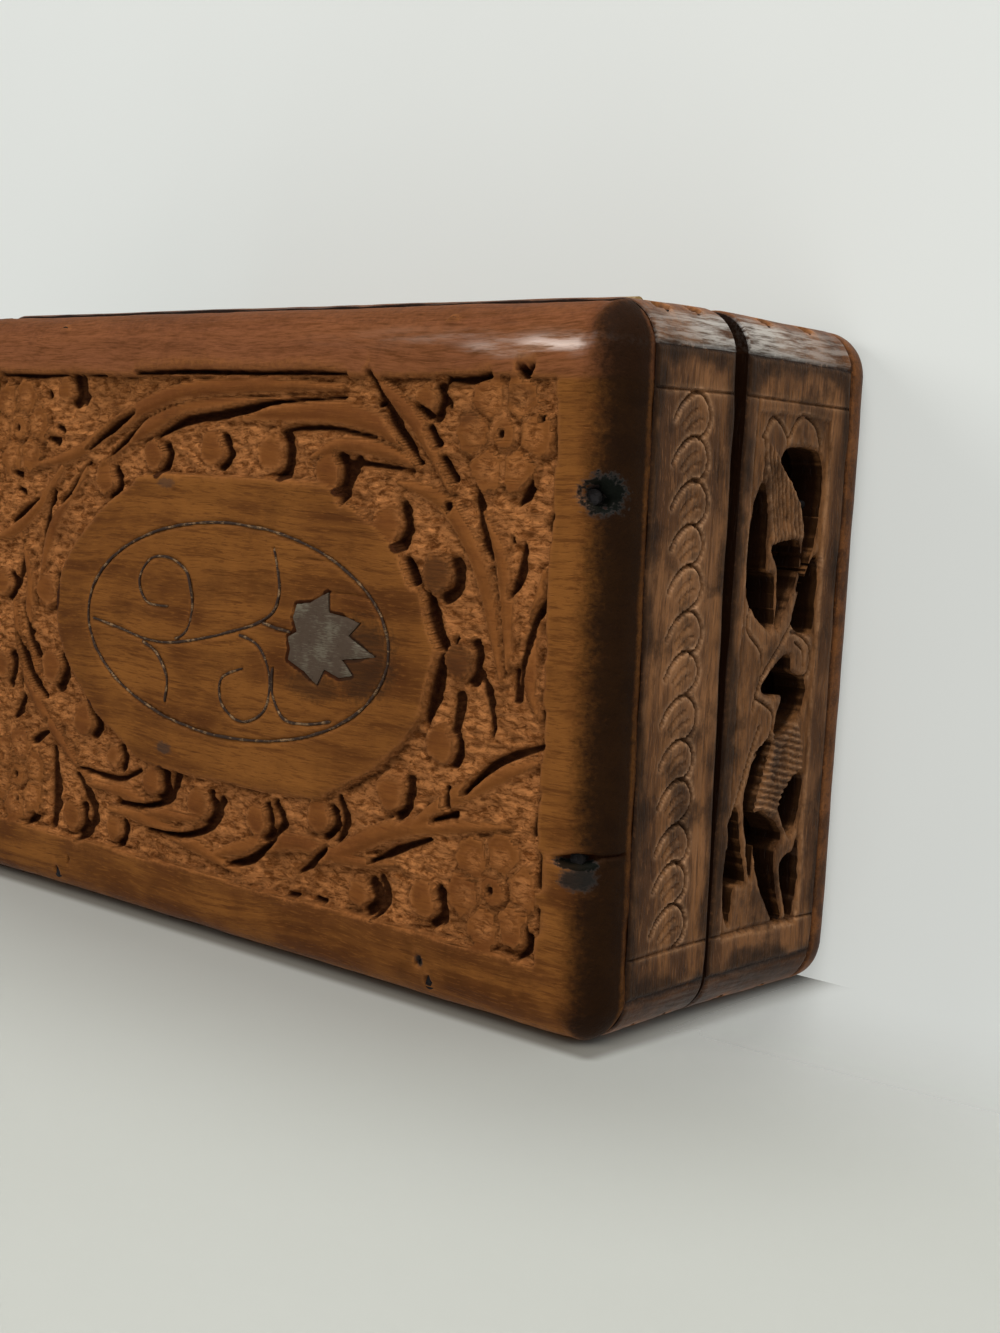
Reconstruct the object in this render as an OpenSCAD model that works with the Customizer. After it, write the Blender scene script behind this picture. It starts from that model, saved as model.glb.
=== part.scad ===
// Carved keepsake box: a wooden box with a hinged lid.
// The lid's top board carries a carved field with a plain medallion and metal inlay,
// the lid's front and ends carry an incised chain of scallops, and the base's ends are pierced with foliage.
//
// Frame: X along the box, Y from front to back (hinges at +Y), Z up. The box stands on Z = 0.
// The lid is drawn level in its own frame and then laid on the base by on_base().

/* [Box] */
// Length of the box over its ends
box_l = 150; // [136:1:180]
// Width of the box from front to back
box_w = 101.2; // [98:0.1:122]
// Thickness of the side and end boards
board_t = 6.2; // [6:0.1:8]
// Radius of the four upright corners
corner_r = 7; // [6:0.5:9]
// Height of the base's side and end boards
base_frame_h = 27.7; // [26:0.1:40]
// Thickness of the bottom board
bottom_t = 6.2; // [5.5:0.1:9]
// Height of the rounding round the bottom board
bottom_round = 4.5; // [2:0.5:5]

/* [Lid] */
// Whole depth of the lid from its rim to its carved face
lid_depth = 27.15; // [26:0.05:34]
// Thickness of the carved top board
panel_t = 8.6; // [8:0.1:10]
// Height of the rounding round the top board
top_round = 6; // [4:0.5:6]
// Gap between the two rims at the front of the closed box
front_gap = 0.35; // [0.2:0.05:1]
// Gap between the two rims at the back, which the closed hinges hold open
back_gap = 3.25; // [3.15:0.05:4.5]

/* [Carving] */
// Plain border of the top board at each end
border_end = 9.7; // [9:0.1:12]
// Plain border of the top board at the front and back
border_side = 10.9; // [9:0.1:13]
// Depth of the carved ground below the face
relief = 2; // [1.2:0.1:2.4]
// Drop of the leaves and petals below the face
leaf_drop = 0.5; // [0.2:0.1:0.8]
// Drop of the round berries below the face
berry_drop = 0.3; // [0.1:0.1:0.6]
// Depth of the gouge cuts below the carved ground
gouge_depth = 0.9; // [0.4:0.1:1.2]
// Length of the plain medallion
medallion_l = 90; // [84:1:94]
// Width of the plain medallion
medallion_w = 50; // [44:1:52]
// Radius of a corner flower's petal
petal_r = 3.4; // [2.6:0.1:3.8]
// Distance of the petals from the flower's centre
petal_ring_r = 5.2; // [4:0.1:6]
// Radius of the boss in a corner flower
boss_r = 2.3; // [1.6:0.1:2.8]

/* [Inlay] */
// Length of the oval wire in the medallion
oval_l = 72; // [66:1:76]
// Width of the oval wire in the medallion
oval_w = 34.2; // [30:0.1:38]
// Width of the inlaid wire
wire_w = 0.6; // [0.4:0.1:0.8]
// Depth of the inlaid wire
wire_depth = 0.8; // [0.5:0.1:1.2]
// Thickness of the inlaid metal leaf
leaf_plate_t = 0.6; // [0.4:0.1:1]
// Side clearance of the inlay in its groove
inlay_clear = 0.04; // [0.02:0.01:0.08]

/* [Ends] */
// Depth of the incised lines on the end boards
incision = 0.5; // [0.3:0.1:0.8]
// Width of the incised lines on the end boards
incision_w = 0.5; // [0.3:0.1:0.7]
// Distance from one scallop to the next
scallop_pitch = 5.9; // [5.4:0.1:6]
// Radius of a scallop
scallop_r = 3.1; // [2.6:0.1:3.4]
// Distance of the chain's centre line above the lid's rim
chain_rise = 8.7; // [7:0.1:10]
// Distance of the upright border lines from the corners
line_inset = 12; // [11:0.1:14]
// Distance of the long border line below the base's rim
rim_line = 3.2; // [1.5:0.1:3.4]

/* [Hinges] */
// Length of a hinge
hinge_l = 22; // [18:1:28]
// Distance of each hinge's middle from the end of the box
hinge_inset = 30; // [22:1:38]
// Thickness of a hinge leaf
leaf_t = 0.8; // [0.6:0.1:1]
// Width of a hinge leaf on the rim
leaf_w = 6; // [5:0.5:7]
// Outer diameter of the hinge barrel
barrel_d = 3; // [2.8:0.1:3]
// Diameter of the hinge pin
pin_d = 1.4; // [1.2:0.1:1.6]
// Radial clearance of the pin in the barrel
pin_clear = 0.05; // [0.02:0.01:0.08]
// End clearance between the knuckles
knuckle_clear = 0.2; // [0.15:0.05:0.4]
// Distance of the barrel's axis behind the box's back
barrel_out = 0.5; // [0.45:0.05:0.8]

/* [Nails] */
// Diameter of a nail's shank
nail_d = 1.3; // [1:0.1:1.6]
// Diameter of a nail's head
nail_head_d = 2.2; // [2:0.1:2.6]
// Thickness of a nail's head
nail_head_t = 0.5; // [0.4:0.1:0.7]
// Length of the nails in the wooden joints
nail_l = 15; // [13:0.5:18]
// Length of the nails in the hinges
hinge_nail_l = 7; // [5:0.5:9]
// Radial clearance of a nail in its hole
nail_clear = 0.03; // [0.02:0.01:0.06]
// Distance of the nails from the box's sides
nail_inset = 4; // [3.5:0.1:4.2]
// Distance of the nails in the end boards from the front and back of the box
end_nail_inset = 26.6; // [18:0.1:32]
// Distance of the nails in the long boards from the ends of the box
side_nail_inset = 30; // [20:1:38]
// Sink of a nail's head below a flat face
head_sink = 1.4; // [1:0.1:1.6]
// Sink of a nail's head at a rounded upright corner
corner_sink = 1.5; // [1.4:0.1:2]

/* [Hidden] */

$fn = 48;
// Extra depth of a cut past the face that it opens
past = 1;

// Places that follow from the sizes above
rim_z = bottom_t + base_frame_h;
lid_frame_h = lid_depth - panel_t;
lid_tilt = atan((back_gap - front_gap) / box_w);
barrel_y = box_w / 2 + barrel_out;
barrel_z = rim_z + back_gap / 2;
lid_rim_z = rim_z + front_gap;
// Depth of the barrel's axis below the lid's rim, square to the rim
lid_barrel_drop = (lid_rim_z - barrel_z) * cos(lid_tilt)
    + (barrel_y + box_w / 2) * sin(lid_tilt);
// Place of the barrel's axis in the lid's own frame
lid_barrel_y = (barrel_y + box_w / 2) * cos(lid_tilt)
    - (lid_rim_z - barrel_z) * sin(lid_tilt) - box_w / 2;
knuckle_l = hinge_l / 3;
// Widths of the decorated panels on the ends and on the front, between their border lines
end_span = box_w - 2 * line_inset;
front_span = box_l - 2 * line_inset;
field_l = box_l - 2 * border_end;
field_w = box_w - 2 * border_side;
ground_z = lid_depth - relief;
hinge_x = box_l / 2 - hinge_inset;

// Outline of the medallion's first quarter, as shares of its half length and half width
medallion_quarter = [[1, 0], [0.96, 0.28], [0.78, 0.63], [0.56, 0.86], [0.4, 0.95]];

// Leaves of the carved field: x, y and half width at each point of the leaf's spine
field_leaves = [
    [[-52, 24, 0.5], [-40, 26.5, 1.2], [-28, 32, 1.5], [-14, 36.6, 1.5], [4, 37.9, 1.3], [24, 37.8, 0.5]],
    [[-33, 25, 0.5], [-24, 30, 1.3], [-10, 34, 1.6], [8, 34.2, 2], [22, 34, 2.2], [33, 32, 1.6], [40, 28, 0.4]],
    [[18, 27.5, 0.4], [24, 29.5, 1.1], [33, 28.8, 1.2], [41, 26.6, 0.4]],
    [[31, 38.6, 1], [36, 35.4, 1.4], [41, 31, 1.4], [46, 24, 0.6]],
    [[36, 24.5, 0.4], [44, 22.5, 1.4], [50, 17, 1.5], [54, 9, 1.4], [57, -2, 0.5]],
    [[53, 21, 0.4], [56, 15, 1.3], [57.5, 8, 1.4], [58, 0, 0.4]],
    [[64, 14, 0.4], [62.5, 7, 1.2], [62, -1, 1.2], [64, -6, 0.5]],
    [[40, -25, 0.4], [47, -20.5, 1.4], [55, -16, 1.6], [64, -12, 0.6]],
    [[20, -34, 0.4], [29, -29.5, 1.5], [38, -25.5, 1.7], [48, -23.5, 1.2], [60, -21.5, 0.4]],
    [[-4, -36.6, 0.5], [6, -33.5, 1.5], [16, -31, 1.6], [28, -31.6, 1.2], [38, -30.6, 0.4]],
    [[-36, -29.5, 0.5], [-26, -29.6, 1.2], [-17, -31.6, 1.4], [-6, -31, 0.6]],
    [[-30, -33, 0.5], [-20, -33.4, 1.2], [-8, -35.4, 1.4], [4, -38, 0.5]],
    [[-58, 0, 0.6], [-56, -9, 1.4], [-51, -17, 1.4], [-44, -23, 1.2], [-36, -29, 0.4]],
    [[-56, 12, 0.6], [-53.5, 4, 1.2], [-54, -5, 1.1], [-51, -12, 0.5]],
    [[-63, 11, 0.6], [-57, 13, 1.3], [-50, 18, 1.3], [-44, 24, 0.6]],
    [[-50, 5, 0.5], [-47.5, 12, 1.3], [-44, 17, 1.3], [-37, 24, 0.5]]
];

// Gouge cuts beside the leaves and petals: x, y and half width at each point
gouge_cuts = [
    [[-36, 26.8, 0.2], [-29, 30.4, 0.5], [-20, 34.4, 0.5], [-10, 36, 0.2]],
    [[-19, 30, 0.2], [-12, 32, 0.6], [-4, 34.5, 0.6], [6, 36, 0.3], [18, 36.2, 0.2]],
    [[29.5, 39.3, 0.4], [32, 36, 0.7], [36, 31.4, 0.6], [40, 28, 0.2]],
    [[26, 23, 0.6], [25.6, 25, 0.8], [27, 27.2, 0.4]],
    [[50.5, 25.2, 0.2], [52, 20.5, 0.8], [53.8, 15, 0.4]],
    [[58.6, 17.5, 0.4], [58.4, 14, 0.6], [58, 10.5, 0.3]],
    [[64.2, 10.5, 0.2], [61, 4, 0.7], [59.6, -4, 0.5]],
    [[53, 0, 0.3], [55.4, -5, 0.6], [55.2, -9.5, 0.2]],
    [[51, -18, 0.2], [55, -14, 0.5], [63.5, -9.6, 0.2]],
    [[33, -30.6, 0.2], [38, -28, 0.5], [46, -25.4, 0.2]],
    [[33.2, -33.4, 0.4], [34.4, -35.6, 0.9], [32.6, -38.6, 0.4]],
    [[1, -37, 0.2], [6, -35.6, 0.6], [13, -30.4, 0.4]],
    [[18, -35, 0.2], [23, -31.4, 0.8], [27.6, -25, 0.8], [26, -22, 0.4]],
    [[-20, -34.9, 0.2], [-10, -33.8, 0.4], [-3.6, -30.5, 0.7], [-1, -27.4, 0.4]],
    [[-27, -31.6, 0.2], [-18, -30.4, 0.4], [-13, -26, 0.7]],
    [[-46.8, -25.5, 0.4], [-46, -31, 1.1], [-46.4, -38, 0.7]],
    [[-39.6, -28, 0.3], [-35, -34.2, 1], [-38.6, -39, 0.5]],
    [[-56.4, -1, 0.3], [-54, -5.5, 0.7], [-51.4, -9.6, 0.3]],
    [[-55, 10, 0.3], [-56.2, 5, 0.9], [-57, 0.6, 0.4]],
    [[-51, 8, 0.5], [-49.8, 13, 0.7], [-47, 19.6, 0.2]],
    [[-45, 18, 0.3], [-42, 21, 0.7], [-38.6, 24.6, 0.3]],
    [[-61, 12.6, 0.5], [-57, 14.6, 0.6], [-51.6, 17.6, 0.2]]
];

// Round berries of the carved field: x, y and radius
berries = [
    [-32.5, 22.5, 2.9], [-19.5, 26.6, 2.7], [-5, 28, 2.9], [8.7, 28, 3.2], [21.5, 25.6, 2.8],
    [34, 18.8, 3.1], [44, 12, 3], [49, 0.3, 2.8], [46, -11.6, 3], [36.4, -20, 3],
    [21.6, -26, 2.8], [7.4, -29, 2.7], [-6.6, -28.6, 2.8], [-18.6, -26.4, 2.7], [-29, -24, 2],
    [-37.6, -18.6, 3], [-47, -10.6, 3], [-48.4, 2.6, 3], [-40.4, -36, 2.7], [-28.6, -36.2, 2.2],
    [30.6, -36, 2.4], [43.6, -34.8, 3], [41, 36.4, 2.2], [-43.6, 37, 2.2], [-62, 3, 2.6], [-62, -12, 2.6]
];

// Corner flowers of the carved field: x, y and turn
flowers = [[55.8, 31.8, 0], [57, -31, 14], [-57, 30.4, 8], [-56.6, -31, 22]];
petals = 6;
punch_r = 0.9;
punch_ring_r = 1.6;

// Runs of the inlaid wire on the medallion
vine_runs = [
    [[-34.4, -0.9], [-27, -2], [-19, -3.3], [-10, -2.6], [0, -0.3], [7, 1.8], [11, 4.2], [12, 8], [10.6, 13.6]],
    [[-12.6, -2.5], [-9.6, -0.6], [-8.5, 4], [-10, 8.4], [-14, 10.4], [-19, 10.1], [-22, 6.6], [-20, 3], [-14.6, 2.6]],
    [[-21, -3.6], [-17, -5.3], [-14.5, -9], [-15, -13]],
    [[3, -0.3], [7.6, -1.7], [10.2, -6], [9.4, -11.4], [4, -13.9], [-0.6, -11.8], [-1, -7.6], [4, -5.5]],
    [[10.9, -4.6], [11.2, -9], [14, -12.3], [18.6, -12.4], [24, -11.4]],
    [[8.4, 2.1], [11.6, 1.5], [14.8, 1.2]]
];

// Outline of the inlaid metal leaf
leaf_outline = [
    [14.2, 0.4], [16.2, 1.4], [15.2, 3.4], [16, 5.5], [19, 6], [22.8, 7.8], [23, 4.8], [26.4, 4.5],
    [29.6, 3.8], [27.2, 1.7], [33, -0.8], [26, -1.9], [28.4, -4], [25.6, -4.6], [22.3, -3.7],
    [20.8, -6.2], [18, -4.5], [14.3, -3], [14.8, -1.4]
];

// Pierced shapes of the base's end boards: y, and depth below the rim
pierced = [
    [[32.2, 16], [31.2, 20.4], [27, 21.4], [21, 21.2], [17, 20.2], [13.4, 18.6], [11.4, 17.3], [15, 17.9],
        [20, 18.1], [24, 16.9], [28, 15.4]],
    [[16.4, 21.8], [8, 22.2], [5.2, 21.8], [5.4, 18.6], [6.6, 16.6], [11, 18.2]],
    [[26.4, 6.6], [23.6, 4.8], [18, 3.9], [12, 4], [9, 5.4], [5.6, 10.6], [8.4, 11.2], [13.2, 10.8],
        [14, 8.6], [17.6, 8.2], [22, 7.8]],
    [[17.6, 10.2], [18.4, 16.8], [14, 16.9], [9.6, 14.8], [5.8, 12.4], [10, 12.3], [15, 11.6]],
    [[31, 7.8], [34.8, 11.2], [32.4, 12.4], [31.8, 14.6], [29.8, 13.6], [29.8, 9.6]],
    [[-2.8, 9.8], [0.4, 13.4], [1.6, 16.2], [-1, 17.2], [-2.2, 20.8], [-5.4, 21], [-8, 19], [-10.4, 14.2],
        [-7.4, 14.4], [-4.2, 15.4], [-3.8, 12]],
    [[-11, 12.8], [-13, 9.8], [-16, 8.2], [-19.4, 7.3], [-24, 8.2], [-30.8, 10.1], [-26, 10], [-21.4, 9.6],
        [-17, 10.8], [-13.4, 12.2]],
    [[-20.4, 5], [-25, 3.6], [-31.4, 3], [-37, 4.9], [-31.6, 5.8], [-31.4, 8.6], [-26, 6.8]],
    [[-21.6, 10.2], [-22.6, 14.2], [-25.4, 17.6], [-28.6, 15.8], [-34, 17.4], [-38.6, 19], [-37.4, 16.4],
        [-31, 12.2], [-26, 10.7]],
    [[-20.2, 17], [-16.4, 21.4], [-20, 22.2], [-25.2, 20.6], [-24.2, 18.6]],
    [[-30, 18.4], [-28.4, 21.4], [-27, 22.4], [-34, 22.6], [-38.8, 21.6], [-34, 19.4]]
];

// Points of a smooth curve through the given points
function curve_point(a, b, c, d, t) =
    0.5 * (2 * b + (c - a) * t + (2 * a - 5 * b + 4 * c - d) * t * t
        + (3 * b - a - 3 * c + d) * t * t * t);
function smooth_open(p, steps) = let(n = len(p)) concat(
    [for (i = [0 : n - 2], s = [0 : steps - 1])
        curve_point(p[max(i - 1, 0)], p[i], p[i + 1], p[min(i + 2, n - 1)], s / steps)],
    [p[n - 1]]);
function smooth_closed(p, steps) = let(n = len(p))
    [for (i = [0 : n - 1], s = [0 : steps - 1])
        curve_point(p[(i + n - 1) % n], p[i], p[(i + 1) % n], p[(i + 2) % n], s / steps)];

// Sideways direction of a run at one of its points
function run_side(p, i) = let(
        a = p[max(i - 1, 0)],
        b = p[min(i + 1, len(p) - 1)],
        d = [b[0] - a[0], b[1] - a[1]] / norm([b[0] - a[0], b[1] - a[1]]))
    [-d[1], d[0]];

// Outline of a band along a run, whose half width at each point is given by half_w
function band(p, half_w) = concat(
    [for (i = [0 : len(p) - 1]) [p[i][0], p[i][1]] + half_w[i] * run_side(p, i)],
    [for (i = [len(p) - 1 : -1 : 0]) [p[i][0], p[i][1]] - half_w[i] * run_side(p, i)]);
function tapered_band(p) = band(p, [for (q = p) q[2]]);
function even_band(p, w) = band(p, [for (q = p) w / 2]);

// Colours of the woods and metals
module face_wood() { color([0.60, 0.36, 0.17]) children(); }
module end_wood() { color([0.55, 0.41, 0.28]) children(); }
module side_wood() { color([0.50, 0.30, 0.17]) children(); }
module dull_brass() { color([0.62, 0.52, 0.32]) children(); }
module grey_metal() { color([0.45, 0.43, 0.38]) children(); }
module rusty_iron() { color([0.20, 0.17, 0.16]) children(); }

// Plan of the box with its rounded corners
module plan_shape() {
    square([box_l - 2 * corner_r, box_w], center = true);
    square([box_l, box_w - 2 * corner_r], center = true);
    for (sx = [-1, 1], sy = [-1, 1]) {
        translate([sx * (box_l / 2 - corner_r), sy * (box_w / 2 - corner_r)])
            circle(corner_r);
    }
}

// Section of a board's edge with its upper corner rounded, reaching in by corner_r
module edge_section(t, round_r) {
    square([corner_r, t - round_r]);
    square([corner_r - round_r, t]);
    intersection() {
        translate([corner_r - round_r, t - round_r])
            circle(round_r);
        square([corner_r, t]);
    }
}

// Board with the box's plan, whose upper edge is rounded all round
module rounded_board(t, round_r) {
    x = box_l / 2 - corner_r;
    y = box_w / 2 - corner_r;
    translate([-x, -y, 0])
        cube([2 * x, 2 * y, t]);
    for (turn = [0, 180]) {
        rotate([0, 0, turn])
            translate([x, y, 0])
                rotate([90, 0, 0])
                    linear_extrude(2 * y)
                        edge_section(t, round_r);
        rotate([0, 0, turn])
            translate([-x, y, 0])
                rotate([90, 0, 90])
                    linear_extrude(2 * x)
                        edge_section(t, round_r);
    }
    for (sx = [-1, 1], sy = [-1, 1]) {
        translate([sx * x, sy * y, 0])
            rotate_extrude()
                edge_section(t, round_r);
    }
}

// Lays what is drawn in the lid's own frame on the base
module on_base() {
    translate([0, -box_w / 2, lid_rim_z])
        rotate([lid_tilt, 0, 0])
            translate([0, box_w / 2, 0])
                children();
}

// Nail with its head's outer face at the origin and its point towards -Z
module nail(length, clear = 0, above = 0) {
    translate([0, 0, -nail_head_t - clear])
        cylinder(h = nail_head_t + clear + above, d = nail_head_d + 2 * clear);
    translate([0, 0, -length - clear])
        cylinder(h = length - nail_head_t / 2, d = nail_d + 2 * clear);
}

// Places of the upright nails round the top and bottom boards
module at_board_nails() {
    for (sx = [-1, 1], sy = [-1, 1]) {
        translate([sx * (box_l / 2 - nail_inset), sy * (box_w / 2 - end_nail_inset), 0])
            children();
        translate([sx * (box_l / 2 - side_nail_inset), sy * (box_w / 2 - nail_inset), 0])
            children();
    }
}

// Places of the nails that hold the long boards of a frame to its end boards
module at_frame_nails(frame_h) {
    for (sx = [-1, 1], sy = [-1, 1], level = [0.3, 0.7]) {
        translate([sx * (box_l / 2 - nail_inset), sy * (box_w / 2 - corner_sink), level * frame_h])
            rotate([-90 * sy, 0, 0])
                children();
    }
}

// Places of the two nails of each hinge leaf, on the rim's surface
module at_hinge_nails() {
    for (sx = [-1, 1], side = [-1, 1]) {
        translate([sx * hinge_x + side * knuckle_l, box_w / 2 - leaf_w / 2, 0])
            children();
    }
}

// Frame board along the front (-1) or back (1) of a frame
module long_board(frame_h, side) {
    intersection() {
        linear_extrude(frame_h)
            plan_shape();
        translate([-box_l / 2, side > 0 ? box_w / 2 - board_t : -box_w / 2, 0])
            cube([box_l, board_t, frame_h]);
    }
}

// Frame board across the right end of a frame
module end_board(frame_h) {
    intersection() {
        linear_extrude(frame_h)
            plan_shape();
        translate([box_l / 2 - board_t, -box_w / 2 + board_t, 0])
            cube([board_t, box_w - 2 * board_t, frame_h]);
    }
}

// Faces that carry incised work. Each is drawn looking at it from outside: its surface lies on X = 0,
// Y runs across it and Z upwards
module on_right_face() {
    translate([box_l / 2, 0, 0])
        children();
}
module on_front_face() {
    translate([0, -box_w / 2, 0])
        rotate([0, 0, -90])
            children();
}

// Incised line on a face from one place to another, across or upwards
module face_line(y, z, dy, dz) {
    translate([-incision, y - incision_w / 2, z - incision_w / 2])
        cube([incision + past, dy + incision_w, dz + incision_w]);
}

// Upright border lines at both sides of a decorated panel
module upright_lines(span, frame_h) {
    for (side = [-1, 1]) {
        face_line(side * span / 2, 0, 0, frame_h);
    }
}

// Line of one scallop, bulging towards the rim
module scallop_line() {
    rotate([0, 90, 0])
        rotate([0, 0, -75])
            rotate_extrude(angle = 210)
                translate([scallop_r - incision_w, 0])
                    square([incision_w, incision + past]);
}

// Chain of as many scallops as the span holds
module scallop_chain(span) {
    steps = floor((span - 2 * scallop_r) / scallop_pitch);
    for (i = [0 : steps]) {
        translate([-incision, (steps / 2 - i) * scallop_pitch, chain_rise])
            scallop_line();
    }
}

// Lid end board with its chain of scallops and its border lines
module carved_lid_end() {
    difference() {
        end_board(lid_frame_h);
        on_right_face() {
            scallop_chain(end_span);
            upright_lines(end_span, lid_frame_h);
        }
    }
}

// Base end board, pierced through with foliage and lined round the foliage
module pierced_base_end() {
    difference() {
        end_board(base_frame_h);
        for (shape = pierced) {
            translate([box_l / 2 - board_t - past, 0, base_frame_h])
                rotate([0, 90, 0])
                    linear_extrude(board_t + 2 * past)
                        polygon(smooth_closed([for (q = shape) [q[1], q[0]]], 2));
        }
        on_right_face() {
            upright_lines(end_span, base_frame_h);
            face_line(-end_span / 2, base_frame_h - rim_line, end_span, 0);
        }
    }
}

// Outline of the medallion
module medallion_shape() {
    half = [medallion_l / 2, medallion_w / 2];
    n = len(medallion_quarter);
    back_half = concat(
        [for (q = medallion_quarter) [q[0] * half[0], q[1] * half[1]]],
        [for (i = [n - 1 : -1 : 0]) [-medallion_quarter[i][0] * half[0], medallion_quarter[i][1] * half[1]]]);
    front_half = [for (i = [len(back_half) - 2 : -1 : 1]) [back_half[i][0], -back_half[i][1]]];
    polygon(concat(back_half, front_half));
}

// Outlines of the leaves and petals that stand on the carved ground
module leaf_shapes() {
    for (spine = field_leaves) {
        polygon(tapered_band(smooth_open(spine, 4)));
    }
    for (f = flowers, i = [0 : petals - 1]) {
        translate([f[0], f[1]])
            rotate(f[2] + i * 360 / petals)
                translate([petal_ring_r, 0])
                    circle(petal_r);
    }
}

// Everything that stands on the carved ground
module field_relief() {
    linear_extrude(relief)
        medallion_shape();
    linear_extrude(relief - leaf_drop)
        intersection() {
            square([field_l, field_w], center = true);
            leaf_shapes();
        }
    for (b = berries) {
        translate([b[0], b[1], relief - berry_drop - b[2]])
            sphere(b[2]);
    }
    for (f = flowers) {
        translate([f[0], f[1], relief - berry_drop - boss_r])
            sphere(boss_r);
    }
}

// Punched eye and ring in each corner flower's boss
module flower_punches() {
    for (f = flowers) {
        translate([f[0], f[1], relief - leaf_drop - incision])
            cylinder(h = relief, r = punch_r / 2);
        translate([f[0], f[1], relief - leaf_drop - incision])
            rotate_extrude()
                translate([punch_ring_r, 0])
                    square([incision_w / 2, relief]);
    }
}

// Run of the oval wire, as points of an ellipse
oval_run = [for (i = [0 : 71]) [cos(i * 5), sin(i * 5)]];
module oval_shape(extra) {
    difference() {
        polygon([for (q = oval_run) [q[0] * (oval_l + wire_w + extra) / 2, q[1] * (oval_w + wire_w + extra) / 2]]);
        polygon([for (q = oval_run) [q[0] * (oval_l - wire_w - extra) / 2, q[1] * (oval_w - wire_w - extra) / 2]]);
    }
}

// Wire runs of the vine, kept clear of the oval wire
module vine_shape(extra) {
    for (run = vine_runs) {
        polygon(even_band(smooth_open(run, 4), wire_w + extra));
    }
}

module lid_panel() {
    face_wood() on_base() difference() {
        union() {
            difference() {
                translate([0, 0, lid_frame_h])
                    rounded_board(panel_t, top_round);
                translate([-field_l / 2, -field_w / 2, ground_z])
                    cube([field_l, field_w, relief + past]);
            }
            translate([0, 0, ground_z])
                field_relief();
        }
        translate([0, 0, ground_z])
            flower_punches();
        translate([0, 0, ground_z - gouge_depth])
            linear_extrude(gouge_depth + relief + past)
                difference() {
                    intersection() {
                        square([field_l, field_w], center = true);
                        for (cut = gouge_cuts) {
                            polygon(tapered_band(smooth_open(cut, 4)));
                        }
                    }
                    medallion_shape();
                }
        translate([0, 0, lid_depth - wire_depth])
            linear_extrude(wire_depth + past)
                union() {
                    oval_shape(2 * inlay_clear);
                    vine_shape(2 * inlay_clear);
                }
        translate([0, 0, lid_depth - leaf_plate_t])
            linear_extrude(leaf_plate_t + past)
                polygon(leaf_outline);
        translate([0, 0, lid_depth - head_sink])
            at_board_nails()
                nail(nail_l, nail_clear, relief + past);
    }
}

module inlay_oval() {
    dull_brass() on_base() translate([0, 0, lid_depth - wire_depth])
        linear_extrude(wire_depth)
            oval_shape(0);
}

module inlay_vine() {
    dull_brass() on_base() translate([0, 0, lid_depth - wire_depth])
        linear_extrude(wire_depth)
            vine_shape(0);
}

module inlay_leaf() {
    grey_metal() on_base() translate([0, 0, lid_depth - leaf_plate_t])
        linear_extrude(leaf_plate_t)
            polygon(leaf_outline);
}

module lid_long_board(side) {
    side_wood() on_base() difference() {
        long_board(lid_frame_h, side);
        at_frame_nails(lid_frame_h)
            nail(nail_l, nail_clear, corner_sink + past);
        translate([0, 0, lid_depth - head_sink])
            at_board_nails()
                nail(nail_l, nail_clear);
        if (side < 0) {
            on_front_face() {
                scallop_chain(front_span);
                upright_lines(front_span, lid_frame_h);
            }
        }
        if (side > 0) {
            translate([0, 0, -leaf_t])
                at_hinge_nails()
                    rotate([180, 0, 0])
                        translate([0, 0, nail_head_t])
                            nail(hinge_nail_l, nail_clear);
        }
    }
}

module lid_front_board() {
    lid_long_board(-1);
}

module lid_back_board() {
    lid_long_board(1);
}

module drilled_lid_end() {
    difference() {
        carved_lid_end();
        at_frame_nails(lid_frame_h)
            nail(nail_l, nail_clear);
        translate([0, 0, lid_depth - head_sink])
            at_board_nails()
                nail(nail_l, nail_clear);
    }
}

module lid_right_end() {
    end_wood() on_base()
        drilled_lid_end();
}

module lid_left_end() {
    end_wood() on_base() mirror([1, 0, 0])
        drilled_lid_end();
}

module lid_frame_nails() {
    rusty_iron() on_base() at_frame_nails(lid_frame_h)
        nail(nail_l);
}

module panel_nails() {
    rusty_iron() on_base() translate([0, 0, lid_depth - head_sink]) at_board_nails()
        nail(nail_l);
}

module bottom_board() {
    side_wood() difference() {
        translate([0, 0, bottom_t])
            mirror([0, 0, 1])
                rounded_board(bottom_t, bottom_round);
        translate([0, 0, head_sink])
            at_board_nails()
                rotate([180, 0, 0])
                    nail(nail_l, nail_clear, head_sink + past);
    }
}

module base_long_board(side) {
    side_wood() difference() {
        translate([0, 0, bottom_t])
            long_board(base_frame_h, side);
        translate([0, 0, bottom_t])
            at_frame_nails(base_frame_h)
                nail(nail_l, nail_clear, corner_sink + past);
        translate([0, 0, head_sink])
            at_board_nails()
                rotate([180, 0, 0])
                    nail(nail_l, nail_clear);
        if (side < 0) {
            translate([0, 0, bottom_t])
                on_front_face() {
                    upright_lines(front_span, base_frame_h);
                    face_line(-front_span / 2, base_frame_h - rim_line, front_span, 0);
                }
        }
        if (side > 0) {
            translate([0, 0, rim_z + leaf_t + nail_head_t])
                at_hinge_nails()
                    nail(hinge_nail_l, nail_clear);
        }
    }
}

module base_front_board() {
    base_long_board(-1);
}

module base_back_board() {
    base_long_board(1);
}

module drilled_base_end() {
    difference() {
        translate([0, 0, bottom_t])
            pierced_base_end();
        translate([0, 0, bottom_t])
            at_frame_nails(base_frame_h)
                nail(nail_l, nail_clear);
        translate([0, 0, head_sink])
            at_board_nails()
                rotate([180, 0, 0])
                    nail(nail_l, nail_clear);
    }
}

module base_right_end() {
    end_wood()
        drilled_base_end();
}

module base_left_end() {
    end_wood() mirror([1, 0, 0])
        drilled_base_end();
}

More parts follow.
